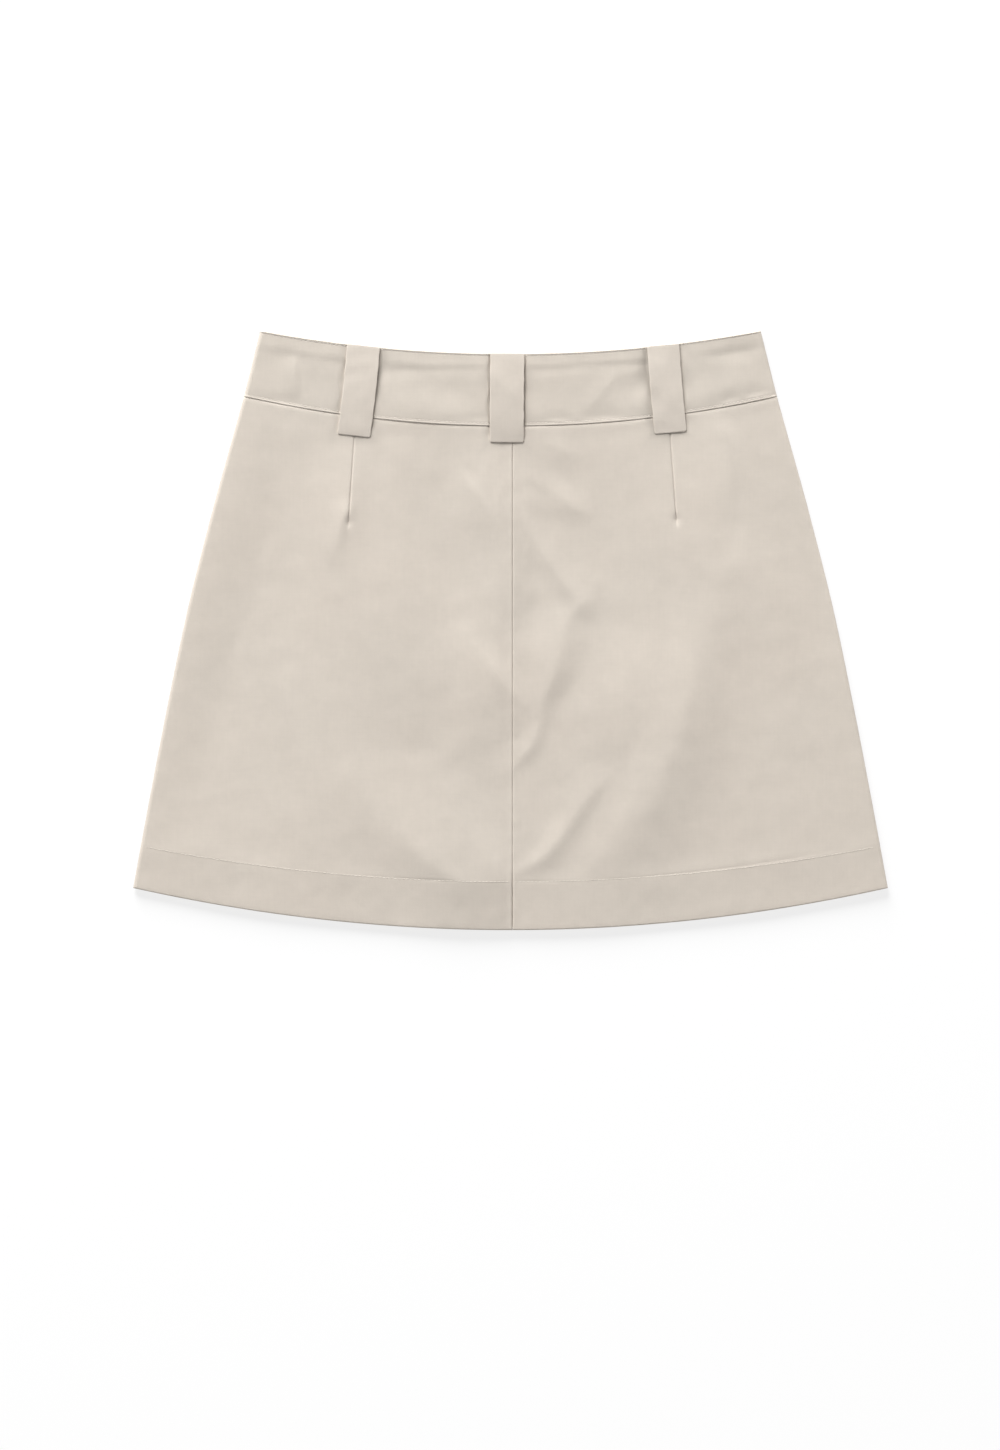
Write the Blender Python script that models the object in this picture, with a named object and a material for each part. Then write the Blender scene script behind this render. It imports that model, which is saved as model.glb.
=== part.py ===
"""A-line utility skirt of cotton drill, laid flat with its back up.

The front lies face down on z = 0 and the back lies on the front. They are joined along two
folded side edges. X runs across the skirt, +Y points to the waist and +Z points up.

Every size is in millimetres and becomes metres when a mesh is made. Each cut and sewn piece
is one closed solid, and keeps SEAM_GAP to its neighbours. A panel is a grid: its rows run
across the skirt, each at a drop below the top corners, and its columns run from the centre
seam to the side edge.
"""

import math
from collections import namedtuple

import bmesh
import bpy

MM = 0.001
SHARP_ANGLE = math.radians(40.0)

# ---- driving dimensions -----------------------------------------------------------------
WAIST_SIDE_Y = 203.6     # Y of the two top corners
BAND_DROP = 45.0         # depth of the waistband, down the side edge
SKIRT_DROP = 378.6       # top corner to hem corner
HEM_DEPTH = 32.0         # turned-up hem
CENTRE_BACK_X = 1.4      # the centre-back seam lies a little right of the middle
CENTRE_FRONT_X = 0.0

CLOTH_WALL = 1.2         # one layer of drill with the seam allowances behind it
HEM_WALL = 1.8           # the hem's two layers
BAND_WALL = 1.8          # the waistband's two layers
SEAM_GAP = 0.3           # between neighbouring pieces

BODY_TOP = 4.4           # upper face of the back panels
BAND_TOP = 5.0           # upper face of the back waistband
SIDE_SEAM_Z = 2.4        # height of the side seams, half way round the folded edge
SIDE_ROUND = 4.0         # how far in from the side edge the fold starts to round
SIDE_ARC_STEPS = 3

# How much of the wall each face gives up at a folded or pressed edge.
Nip = namedtuple("Nip", "distance share")
FOLDED_EDGE = (Nip(0.0, 0.40), Nip(0.35, 0.18), Nip(1.2, 0.0))
PRESSED_EDGE = (Nip(0.0, 0.20), Nip(1.2, 0.0))

# ---- the cut ----------------------------------------------------------------------------
Station = namedtuple("Station", "at value")

# Half width of the flat skirt at each drop: a hip curve that straightens towards the hem.
HALF_WIDTH = (
    Station(0.0, 170.0),
    Station(45.0, 181.2),
    Station(84.0, 192.0),
    Station(118.0, 201.4),
    Station(186.0, 218.6),
    Station(254.0, 232.9),
    Station(322.0, 246.0),
    Station(378.6, 256.4),
)

# How far the middle of a row hangs below its ends.
BACK_SAG = (Station(0.0, 15.6), Station(45.0, 19.3), Station(378.6, 28.6))
FRONT_SAG = (Station(0.0, 27.6), Station(45.0, 31.3), Station(378.6, 26.6))

# The waistband's own relief: a rolled top edge, a shallow ditch and a soft belly.
BAND_RELIEF = (
    Station(0.0, 0.0),
    Station(4.0, 0.25),
    Station(15.0, -0.35),
    Station(33.0, 0.30),
    Station(45.0, -0.10),
)

# Each back panel's dart runs from the band seam to its point, and is pressed flat.
Dart = namedtuple("Dart", "seam_x point_x length")
DARTS = {-1: Dart(-105.1, -109.8, 70.0), 1: Dart(107.5, 112.8, 69.0)}
DART_DEPTH = 0.35
DART_HALF_WIDTH = 0.9

# The centre-back seam is pressed open and sinks a little.
CENTRE_SINK = 0.3
CENTRE_SINK_WIDTH = 2.5

# The closure's layers lift the middle of the back, softly.
CLOSURE_LIFT = 2.0
CLOSURE_Y = 163.0
CLOSURE_SPREAD_X = 58.0
CLOSURE_SPREAD_Y = 45.0

# ---- folds of the back, from (x1, y1) to (x2, y2) ----------------------------------------
# Widths are on the left and right hand of someone walking from point 1 to point 2.
Fold = namedtuple("Fold", "x1 y1 x2 y2 height left_width right_width")
FOLDS = {
    "drag_line_to_seam": Fold(58.0, 28.0, 4.0, -92.0, 1.7, 13.0, 34.0),
    "drag_line_upper_arm": Fold(18.0, 122.0, 56.0, 30.0, 0.8, 22.0, 12.0),
    "hem_fold_right": Fold(70.0, -98.0, 5.0, -172.0, 1.4, 14.0, 26.0),
    "broad_roll_right": Fold(128.0, 12.0, 92.0, -150.0, 1.2, 20.0, 40.0),
    "hem_fold_left": Fold(-54.0, -88.0, -12.0, -168.0, 1.1, 24.0, 22.0),
    "ripple_beside_seam": Fold(-30.0, 112.0, -12.0, -30.0, 0.5, 12.0, 14.0),
    "left_side_trough": Fold(-180.0, 68.0, -219.0, -112.0, -0.9, 12.0, 14.0),
    "right_side_trough": Fold(198.0, 30.0, 207.0, -50.0, -0.4, 11.0, 11.0),
}
FOLD_FADE = 0.2          # share of its length over which a fold dies out at each end
TROUGH_END_DROP = 330.0  # the stiff hem lets no trough through
TROUGH_FADE = 30.0

# ---- belt loops -------------------------------------------------------------------------
Loop = namedtuple("Loop", "top_x bottom_x bottom_y width")
LOOPS = {
    "belt_loop_left": Loop(-99.6, -106.4, 132.0, 22.4),
    "belt_loop_centre": Loop(-2.0, -2.4, 127.4, 23.1),
    "belt_loop_right": Loop(103.7, 108.8, 134.0, 21.8),
}
LOOP_WALL = 1.4
LOOP_CROWN = 0.25        # the strap's middle stands above its edges
LOOP_FOLD = 9.0          # length folded under at the lower end
LOOP_FOLD_STEP = 0.25    # length over which the fold doubles the strap
LOOP_END_NARROWING = 0.5  # each lower corner is rounded in by this much
# Height of the strap's upper face above the waistband, at each share of its length.
LOOP_RISE = (
    Station(0.0, 1.2),
    Station(0.03, 2.0),
    Station(0.25, 2.4),
    Station(0.60, 2.6),
    Station(0.85, 2.3),
    Station(0.97, 2.1),
    Station(1.0, 1.2),
)
LOOP_ROWS = (0.0, 0.03, 0.12, 0.25, 0.4, 0.55, 0.7, 0.8)
LOOP_END_ROWS = (0.97, 1.0)
LOOP_COLUMNS = (-1.0, -0.88, -0.4, 0.0, 0.4, 0.88, 1.0)
LOOP_EDGE_NIP = 0.4

# ---- zip in the centre-front seam ---------------------------------------------------------
ZIP_LENGTH = 190.0
ZIP_WIDTH = 26.0
ZIP_TAPE_WALL = 0.5
ZIP_TOP_MARGIN = 1.5
ZIP_STEP = 3.0           # the tape steps down off the waistband over this length
SLIDER_WALL = 1.0
SLIDER_LENGTH = 9.0
SLIDER_HALF_WIDTH = 3.6
TAB_LENGTH = 17.0
TAB_HALF_WIDTH = 2.6
TAB_CORNER_STEPS = 6

# ---- grid spacing -----------------------------------------------------------------------
BACK_ROW_STEP = 11.0
BACK_SEAM_TO_DART_COLUMNS = 10
BACK_DART_TO_SIDE_COLUMNS = 10
FRONT_ROW_STEP = 30.0
FRONT_COLUMNS = 8
BAND_COLUMNS = 26
HEM_STEP = 0.6           # half of the length over which the wall steps at the hem's top

# ---- finishes: base colour, roughness, metallic --------------------------------------------
Finish = namedtuple("Finish", "colour roughness metallic")
DRILL = Finish((0.680, 0.617, 0.539, 1.0), 0.88, 0.0)
LOOP_DRILL = Finish((0.708, 0.638, 0.565, 1.0), 0.88, 0.0)
TAPE = Finish((0.60, 0.54, 0.46, 1.0), 0.80, 0.0)
ZIP_METAL = Finish((0.56, 0.50, 0.40, 1.0), 0.35, 1.0)


# ---- small helpers ----------------------------------------------------------------------
def smooth_read(stations, at):
    """Read a table of stations with a smooth cubic through them."""
    last = len(stations) - 1
    at = min(max(at, stations[0].at), stations[last].at)
    i = 0
    while i < last - 1 and at > stations[i + 1].at:
        i += 1

    def slope(k):
        lo, hi = stations[max(k - 1, 0)], stations[min(k + 1, last)]
        return (hi.value - lo.value) / (hi.at - lo.at)

    a, b = stations[i], stations[i + 1]
    span = b.at - a.at
    t = (at - a.at) / span
    rest = 1.0 - t
    return (a.value * (1.0 + 2.0 * t) * rest * rest
            + slope(i) * span * t * rest * rest
            + b.value * (3.0 - 2.0 * t) * t * t
            - slope(i + 1) * span * t * t * rest)


def linear_read(stations, at):
    """Read a table of stations with straight lines between them."""
    for a, b in zip(stations, stations[1:]):
        if at <= b.at:
            break
    t = (at - a.at) / (b.at - a.at)
    return a.value + (b.value - a.value) * t


def smoothstep(low, high, value):
    t = min(max((value - low) / (high - low), 0.0), 1.0)
    return t * t * (3.0 - 2.0 * t)


def spread(start, end, step):
    """Evenly spaced values from start to end, no further apart than step."""
    count = max(1, math.ceil(abs(end - start) / step))
    return [start + (end - start) * k / count for k in range(count + 1)]


# ---- the skirt's outline ------------------------------------------------------------------
def half_width(drop):
    return smooth_read(HALF_WIDTH, drop)


def row_y(x, drop, sag):
    """Y of a row at x: its ends lie at the drop, its middle hangs lower by the sag."""
    share = x / half_width(drop)
    return WAIST_SIDE_Y - drop - linear_read(sag, drop) * (1.0 - share * share)


def drop_at(x, y, sag):
    """The drop of the row that passes through a point."""
    drop = WAIST_SIDE_Y - y
    for _ in range(12):
        drop += row_y(x, drop, sag) - y
    return drop


# ---- heights of the back --------------------------------------------------------------------
def fold_height(x, y, drop):
    total = 0.0
    trough_share = 1.0 - smoothstep(TROUGH_END_DROP - TROUGH_FADE, TROUGH_END_DROP, drop)
    for fold in FOLDS.values():
        dx, dy = fold.x2 - fold.x1, fold.y2 - fold.y1
        length = math.hypot(dx, dy)
        along = ((x - fold.x1) * dx + (y - fold.y1) * dy) / length ** 2
        across = ((y - fold.y1) * dx - (x - fold.x1) * dy) / length
        width = fold.left_width if across > 0.0 else fold.right_width
        ends = (smoothstep(-FOLD_FADE, FOLD_FADE, along)
                * (1.0 - smoothstep(1.0 - FOLD_FADE, 1.0 + FOLD_FADE, along)))
        height = fold.height * ends * math.exp(-(across / width) ** 2)
        total += height if height > 0.0 else height * trough_share
    return total


def closure_lift(x, y):
    return CLOSURE_LIFT * math.exp(-(x / CLOSURE_SPREAD_X) ** 2
                                   - ((y - CLOSURE_Y) / CLOSURE_SPREAD_Y) ** 2)


def body_top(x, y, drop):
    return BODY_TOP + closure_lift(x, y) + fold_height(x, y, drop)


def band_top(x, y, drop):
    return BAND_TOP + closure_lift(x, y) + smooth_read(BAND_RELIEF, drop)


# ---- rows and columns -----------------------------------------------------------------------
Row = namedtuple("Row", "drop wall nip")


def body_rows(step):
    """Rows from the band seam to the hem, where the wall has two layers."""
    top = BAND_DROP + SEAM_GAP / 2
    hem_line = SKIRT_DROP - HEM_DEPTH
    rows = [Row(top + n.distance, CLOTH_WALL, n.share) for n in PRESSED_EDGE]
    start = rows[-1].drop
    rows += [Row(d, CLOTH_WALL, 0.0) for d in spread(start, hem_line - HEM_STEP, step)[1:]]
    end = SKIRT_DROP - FOLDED_EDGE[-1].distance
    rows += [Row(d, HEM_WALL, 0.0) for d in spread(hem_line + HEM_STEP, end, step)]
    rows += [Row(SKIRT_DROP - n.distance, HEM_WALL, n.share) for n in reversed(FOLDED_EDGE[:-1])]
    return rows


def band_rows():
    """Rows from the folded top edge to the band seam."""
    rows = [Row(n.distance, BAND_WALL, n.share) for n in FOLDED_EDGE]
    bottom = BAND_DROP - SEAM_GAP / 2
    end = bottom - PRESSED_EDGE[-1].distance
    rows += [Row(d, BAND_WALL, 0.0) for d in spread(rows[-1].drop, end, BAND_DROP / 7)[1:]]
    rows += [Row(bottom - n.distance, BAND_WALL, n.share) for n in reversed(PRESSED_EDGE[:-1])]
    return rows


def dart_x(side, drop):
    """X of the column that a dart lies on. Below its point it keeps its share of the width."""
    dart = DARTS[side]
    point_drop = BAND_DROP + dart.length
    if drop <= point_drop:
        return dart.seam_x + (dart.point_x - dart.seam_x) * (drop - BAND_DROP) / dart.length
    reach = half_width(point_drop) - SIDE_ROUND
    return dart.point_x * (half_width(drop) - SIDE_ROUND) / reach


def back_columns(side, drop):
    """(x, sink) from the centre-back seam to where the side fold starts to round."""
    seam = CENTRE_BACK_X + side * SEAM_GAP / 2
    start = seam + side * CENTRE_SINK_WIDTH
    dart = dart_x(side, drop)
    reach = side * (half_width(drop) - SIDE_ROUND)
    before, after = dart - side * DART_HALF_WIDTH, dart + side * DART_HALF_WIDTH
    point_drop = BAND_DROP + DARTS[side].length
    depth = DART_DEPTH * (1.0 - smoothstep(point_drop - 12.0, point_drop, drop))
    columns = [(seam, CENTRE_SINK)]
    for k in range(BACK_SEAM_TO_DART_COLUMNS + 1):
        columns.append((start + (before - start) * k / BACK_SEAM_TO_DART_COLUMNS, 0.0))
    columns.append((dart, depth))
    for k in range(BACK_DART_TO_SIDE_COLUMNS + 1):
        columns.append((after + (reach - after) * k / BACK_DART_TO_SIDE_COLUMNS, 0.0))
    return columns


def even_columns(start, reach, count):
    return [(start + (reach - start) * k / count, 0.0) for k in range(count + 1)]


def side_arc(side, drop, outer_z, inner_z, seam_z):
    """(x of outer, z of outer, x of inner, z of inner) round the side fold to the side seam."""
    edge = half_width(drop)
    points = []
    for k in range(1, SIDE_ARC_STEPS + 1):
        turn = math.pi / 2 * k / SIDE_ARC_STEPS
        outer_in = SIDE_ROUND * (1.0 - math.sin(turn))
        inner_in = SIDE_ROUND - (SIDE_ROUND - CLOTH_WALL) * math.sin(turn)
        points.append((side * (edge - outer_in), seam_z + (outer_z - seam_z) * math.cos(turn),
                       side * (edge - inner_in), seam_z + (inner_z - seam_z) * math.cos(turn)))
    return points


def back_point_row(row, columns, arc_sides, top, sag):
    """Outer and inner points of one row of a back piece. The back's outer face is up."""
    seam_z = SIDE_SEAM_Z + SEAM_GAP / 2
    pairs = []
    for x, sink in columns:
        y = row_y(x, row.drop, sag)
        z = top(x, y, row.drop) - sink
        nip = row.nip * row.wall
        pairs.append(((x, y, z - nip), (x, y, z - row.wall + nip)))
    return with_side_arcs(row, pairs, arc_sides, seam_z, sag)


def front_point_row(row, columns, arc_sides, sag):
    """Outer and inner points of one row of a front piece. The front's outer face is down."""
    seam_z = SIDE_SEAM_Z - SEAM_GAP / 2
    pairs = []
    for x, _ in columns:
        y = row_y(x, row.drop, sag)
        nip = row.nip * row.wall
        pairs.append(((x, y, nip), (x, y, row.wall - nip)))
    return with_side_arcs(row, pairs, arc_sides, seam_z, sag)


def with_side_arcs(row, pairs, arc_sides, seam_z, sag):
    """Carry a row on round the side folds. arc_sides names the sides that it reaches."""
    for side in arc_sides:
        end = pairs[-1] if side * (pairs[-1][0][0] - pairs[0][0][0]) > 0.0 else pairs[0]
        arc = side_arc(side, row.drop, end[0][2], end[1][2], seam_z)
        more = [((ox, row_y(ox, row.drop, sag), oz), (ix, row_y(ix, row.drop, sag), iz))
                for ox, oz, ix, iz in arc]
        pairs = pairs + more if end is pairs[-1] else more[::-1] + pairs
    return pairs


# ---- meshes and materials --------------------------------------------------------------------
def make_material(name, finish):
    material = bpy.data.materials.new(name)
    material.use_nodes = True
    shader = material.node_tree.nodes["Principled BSDF"]
    shader.inputs["Base Color"].default_value = finish.colour
    shader.inputs["Roughness"].default_value = finish.roughness
    shader.inputs["Metallic"].default_value = finish.metallic
    return material


def add_object(name, bm, finish):
    """Turn a closed bmesh into a named, smoothly shaded object with its own material."""
    bmesh.ops.recalc_face_normals(bm, faces=bm.faces)
    mesh = bpy.data.meshes.new(name)
    bm.to_mesh(mesh)
    bm.free()
    mesh.materials.append(make_material(name, finish))
    mesh.shade_smooth()
    mesh.set_sharp_from_angle(angle=SHARP_ANGLE)
    bpy.context.scene.collection.objects.link(bpy.data.objects.new(name, mesh))


def wall_solid(name, rows, finish):
    """A closed wall from rows of (outer, inner) points."""
    bm = bmesh.new()
    outer = [[bm.verts.new([c * MM for c in pair[0]]) for pair in row] for row in rows]
    inner = [[bm.verts.new([c * MM for c in pair[1]]) for pair in row] for row in rows]
    last_row, last_column = len(rows) - 1, len(rows[0]) - 1
    for grid in (outer, inner):
        for j in range(last_row):
            for i in range(last_column):
                bm.faces.new((grid[j][i], grid[j][i + 1], grid[j + 1][i + 1], grid[j + 1][i]))
    for j in (0, last_row):
        for i in range(last_column):
            bm.faces.new((outer[j][i], outer[j][i + 1], inner[j][i + 1], inner[j][i]))
    for i in (0, last_column):
        for j in range(last_row):
            bm.faces.new((outer[j][i], outer[j + 1][i], inner[j + 1][i], inner[j][i]))
    add_object(name, bm, finish)


def plate_solid(name, outline, low_z, high_z, finish):
    """A flat plate: an outline extruded from low_z to high_z."""
    bm = bmesh.new()
    face = bm.faces.new([bm.verts.new((x * MM, y * MM, low_z * MM)) for x, y in outline])
    raised = bmesh.ops.extrude_face_region(bm, geom=[face])
    verts = [v for v in raised["geom"] if isinstance(v, bmesh.types.BMVert)]
    bmesh.ops.translate(bm, verts=verts, vec=(0.0, 0.0, (high_z - low_z) * MM))
    add_object(name, bm, finish)


# ---- the pieces ---------------------------------------------------------------------------
def build_back_panel(name, side):
    rows = [back_point_row(row, back_columns(side, row.drop), (side,), body_top, BACK_SAG)
            for row in body_rows(BACK_ROW_STEP)]
    wall_solid(name, rows, DRILL)


def build_back_band():
    rows = []
    for row in band_rows():
        reach = half_width(row.drop) - SIDE_ROUND
        columns = even_columns(-reach, reach, BAND_COLUMNS)
        rows.append(back_point_row(row, columns, (-1, 1), band_top, BACK_SAG))
    wall_solid("waistband_back", rows, DRILL)


def build_front_piece(name, side, rows):
    """A front panel or a half of the front waistband, from the centre-front seam outwards."""
    seam = CENTRE_FRONT_X + side * SEAM_GAP / 2
    point_rows = []
    for row in rows:
        reach = side * (half_width(row.drop) - SIDE_ROUND)
        columns = even_columns(seam, reach, FRONT_COLUMNS)
        point_rows.append(front_point_row(row, columns, (side,), FRONT_SAG))
    wall_solid(name, point_rows, DRILL)


def loop_support(x, y):
    """Height of what lies under a belt loop: the waistband, or the panel below its seam."""
    drop = drop_at(x, y, BACK_SAG)
    return band_top(x, y, drop) if drop < BAND_DROP + SEAM_GAP else body_top(x, y, drop)


def build_belt_loop(name, loop):
    """A strap from the top edge over the waistband, with its lower end folded under."""
    top_y = row_y(loop.top_x, 0.0, BACK_SAG)
    run_x, run_y = loop.bottom_x - loop.top_x, loop.bottom_y - top_y
    length = math.hypot(run_x, run_y)
    across_x, across_y = -run_y / length, run_x / length
    fold_start = 1.0 - LOOP_FOLD / length
    shares = [s for s in LOOP_ROWS if s < fold_start]
    shares += [fold_start - LOOP_FOLD_STEP / length, fold_start]
    shares += LOOP_END_ROWS
    rows = []
    for share in shares:
        rise = smooth_read(LOOP_RISE, share)
        reach = loop.width / 2 - (LOOP_END_NARROWING if share == LOOP_END_ROWS[-1] else 0.0)
        row = []
        for c in LOOP_COLUMNS:
            x = loop.top_x + run_x * share + across_x * c * reach
            y = top_y + run_y * share + across_y * c * reach
            crown = LOOP_CROWN * c * c + (LOOP_EDGE_NIP if abs(c) == 1.0 else 0.0)
            outer = BAND_TOP + closure_lift(x, y) + rise - crown
            seat = loop_support(x, y) + SEAM_GAP
            if share < fold_start:
                seat = max(seat, outer - LOOP_WALL + (2.0 * LOOP_EDGE_NIP if abs(c) == 1.0 else 0.0))
            row.append(((x, y, outer), (x, y, seat)))
        rows.append(row)
    wall_solid(name, rows, LOOP_DRILL)


def front_inner_top(y, seam_y):
    """Upper face of the front at its centre: the waistband's, then the panel's."""
    step = smoothstep(seam_y - ZIP_STEP, seam_y - ZIP_STEP / 6, y)
    return CLOTH_WALL + (BAND_WALL - CLOTH_WALL) * step


def build_zip():
    """The tape lies on the inside of the centre-front seam. Its slider is at the top."""
    seam_y = row_y(CENTRE_FRONT_X, BAND_DROP, FRONT_SAG)
    top_y = row_y(CENTRE_FRONT_X, 0.0, FRONT_SAG) - ZIP_TOP_MARGIN
    stops = ([top_y, seam_y + ZIP_STEP] + spread(seam_y, seam_y - ZIP_STEP, ZIP_STEP / 5)
             + [top_y - ZIP_LENGTH])
    rows = []
    for y in stops:
        low = front_inner_top(y, seam_y) + SEAM_GAP
        rows.append([((CENTRE_FRONT_X + c * ZIP_WIDTH / 2, y, low + ZIP_TAPE_WALL),
                      (CENTRE_FRONT_X + c * ZIP_WIDTH / 2, y, low)) for c in (-1.0, 1.0)])
    wall_solid("zip_tape", rows, TAPE)

    tab_y = top_y - SLIDER_LENGTH
    outline = [(SLIDER_HALF_WIDTH, tab_y), (SLIDER_HALF_WIDTH, top_y)]
    outline += [(-x, y) for x, y in reversed(outline)]
    end_y = tab_y - TAB_LENGTH + TAB_HALF_WIDTH
    outline += [(-TAB_HALF_WIDTH * math.cos(math.pi * k / TAB_CORNER_STEPS),
                 end_y - TAB_HALF_WIDTH * math.sin(math.pi * k / TAB_CORNER_STEPS))
                for k in range(TAB_CORNER_STEPS + 1)]
    low = BAND_WALL + SEAM_GAP + ZIP_TAPE_WALL + SEAM_GAP
    outline = [(CENTRE_FRONT_X + x, y) for x, y in outline]
    plate_solid("zip_slider", outline, low, low + SLIDER_WALL, ZIP_METAL)


def build_skirt():
    for thing in list(bpy.data.objects):
        bpy.data.objects.remove(thing, do_unlink=True)
    build_back_panel("back_left", -1)
    build_back_panel("back_right", 1)
    build_back_band()
    for name, loop in LOOPS.items():
        build_belt_loop(name, loop)
    for side, hand in ((-1, "left"), (1, "right")):
        build_front_piece("front_" + hand, side, body_rows(FRONT_ROW_STEP))
        build_front_piece("waistband_front_" + hand, side, band_rows())
    build_zip()


build_skirt()
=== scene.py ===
# %% [markdown]
# # A utility skirt, laid flat with its back up
#
# The real skirt is cut from beige cotton drill: two back panels, two front panels, a
# waistband in three pieces, wide belt loops and a zip. It lies on a table with its front
# face down, so the two layers are pressed almost flat and their side seams sit half way
# round two folded edges. The solid model gives every piece its size and place. This script
# gives each one its cloth: soft folds, rolled edges, sewing and a woven surface.
#
# All sizes below are in millimetres, because that is how a pattern cutter thinks. They
# become metres at the moment when a mesh is made.

import functools
import math
from collections import namedtuple

import bmesh
import bpy
import numpy as np
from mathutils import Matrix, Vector


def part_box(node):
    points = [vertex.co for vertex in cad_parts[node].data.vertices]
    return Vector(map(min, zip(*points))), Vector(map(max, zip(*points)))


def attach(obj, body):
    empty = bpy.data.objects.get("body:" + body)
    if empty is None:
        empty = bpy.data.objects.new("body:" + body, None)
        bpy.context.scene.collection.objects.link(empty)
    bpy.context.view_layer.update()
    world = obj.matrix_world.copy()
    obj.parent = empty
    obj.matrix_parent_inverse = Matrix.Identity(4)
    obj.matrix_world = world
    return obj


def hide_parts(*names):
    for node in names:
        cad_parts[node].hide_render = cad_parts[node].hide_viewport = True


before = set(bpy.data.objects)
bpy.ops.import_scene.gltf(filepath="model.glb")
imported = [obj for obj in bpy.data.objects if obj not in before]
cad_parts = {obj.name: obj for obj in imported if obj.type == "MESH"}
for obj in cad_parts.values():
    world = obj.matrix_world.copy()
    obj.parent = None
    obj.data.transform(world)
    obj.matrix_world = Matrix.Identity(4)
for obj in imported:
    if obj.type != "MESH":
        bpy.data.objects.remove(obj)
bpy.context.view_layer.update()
MM = 0.001
print("nodes:", ", ".join(sorted(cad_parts)))

# %% [markdown]
# ## The camera
#
# A garment is usually recorded flat from a high stand with a long lens, so that its edges
# are not spread by perspective. The camera looks straight down and its height follows from
# the lens and from how much of the table it has to see. An orthographic camera would do as
# well, but a long lens keeps a trace of real depth at the belt loops.

# %% Camera straight above the cloth
VIEW_HEIGHT = 986.0                  # the table that the picture's long side spans
VIEW_MIDDLE = (-7.1, -64.3)          # the point of the table below the lens
LENS, SENSOR = 100.0, 36.0
camera_height = VIEW_HEIGHT * LENS / SENSOR
bpy.ops.object.camera_add(location=(VIEW_MIDDLE[0] * MM, VIEW_MIDDLE[1] * MM, camera_height * MM),
                          rotation=(0.0, 0.0, 0.0))
camera = bpy.context.object
camera.data.lens = LENS
camera.data.sensor_width = SENSOR
bpy.context.scene.camera = camera
print("camera height in mm:", round(camera_height))

# %% [markdown]
# ## Floor and light
#
# A white light table, one large soft lamp far beyond the waist and a bright room. The lamp
# is low enough to graze the cloth, which is what makes shallow folds readable, and wide
# enough to keep their edges soft. It stands a few metres away, so the hem gets a little less
# light than the waist. It could be a sun, but a sun is as bright everywhere. The room is
# brightest near the horizon, as white studio walls are, so the table melts into it when the
# skirt is looked at from the side.

# %% Floor, lamp and room
FLOOR_SIZE = 16.0                    # metres
LAMP_ELEVATION = math.radians(20.5)
LAMP_TURN = math.radians(16.0)       # from +Y towards -X
LAMP_POWER = 1100.0
LAMP_DISTANCE = 7.0
LAMP_HALF_ANGLE = math.radians(17.0)
ROOM_STRENGTH = 0.36                 # overhead
WALL_STRENGTH = 1.10                 # near the horizon
WALL_TOP, ROOM_START = 0.16, 0.42    # sines of the elevations between which the walls fade

bpy.ops.object.select_all(action="DESELECT")
bpy.ops.mesh.primitive_circle_add(vertices=96, radius=FLOOR_SIZE / 2, fill_type="NGON")
floor = bpy.context.object
floor.name = "floor"

towards_lamp = Vector((-math.sin(LAMP_TURN) * math.cos(LAMP_ELEVATION),
                       math.cos(LAMP_TURN) * math.cos(LAMP_ELEVATION),
                       math.sin(LAMP_ELEVATION)))
bpy.ops.object.light_add(type="AREA", location=towards_lamp * LAMP_DISTANCE,
                         rotation=towards_lamp.to_track_quat("Z", "Y").to_euler())
lamp = bpy.context.object
lamp.data.shape = "DISK"
lamp.data.size = 2.0 * LAMP_DISTANCE * math.tan(LAMP_HALF_ANGLE)
lamp.data.energy = LAMP_POWER
lamp.visible_camera = False

bpy.context.scene.view_settings.view_transform = "Standard"
print("lamp comes from", [round(c, 2) for c in towards_lamp])

# %% [markdown]
# ## Writing shader maths as sums
#
# A woven surface is a lot of small arithmetic. Wiring it by hand gives a wall of Math nodes,
# so a socket is wrapped in a small class whose operators add those nodes. Every other kind
# of node comes from one method, which sets the node's options before it fills its sockets.

# %% The wire class
class Wire:
    """A shader socket that can be used in an expression."""

    def __init__(self, tree, socket=None):
        self.tree = tree
        self.socket = socket

    def node(self, kind, output=0, settings=None, values=None):
        """Add a node to this wire's tree and return one of its outputs."""
        node = self.tree.nodes.new(kind)
        for name, value in (settings or {}).items():
            setattr(node, name, value)
        for name, value in (values or {}).items():
            if isinstance(value, Wire):
                self.tree.links.new(value.socket, node.inputs[name])
            else:
                node.inputs[name].default_value = value
        return Wire(self.tree, node.outputs[output])

    def math(self, operation, first, second=0.0):
        return self.node("ShaderNodeMath", settings={"operation": operation},
                         values={0: first, 1: second})

    def __add__(self, other):
        return self.math("ADD", self, other)

    def __sub__(self, other):
        return self.math("SUBTRACT", self, other)

    def __rsub__(self, other):
        return self.math("SUBTRACT", other, self)

    def __mul__(self, other):
        return self.math("MULTIPLY", self, other)

    __radd__ = __add__
    __rmul__ = __mul__

    def sine(self):
        return self.math("SINE", self)

    def into(self, socket):
        self.tree.links.new(self.socket, socket)


def new_material(name, uniform):
    """A material, its shader node with uniform values set, and a wire to build its tree with."""
    material = bpy.data.materials.new(name)
    material.use_nodes = True
    shader = material.node_tree.nodes["Principled BSDF"]
    for socket, value in uniform.items():
        shader.inputs[socket].default_value = value
    return material, shader, Wire(material.node_tree)


def split_xy(place):
    """X and Y of a place as two wires."""
    x = place.node("ShaderNodeSeparateXYZ", "X", values={"Vector": place})
    return x, Wire(x.tree, x.socket.node.outputs["Y"])


def noise(place, scale, detail=2.0, dimensions="3D"):
    """Soft noise between 0 and 1 that changes about scale times in a metre."""
    return place.node("ShaderNodeTexNoise", settings={"noise_dimensions": dimensions},
                      values={"Vector": place, "Scale": scale, "Detail": detail})


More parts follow.
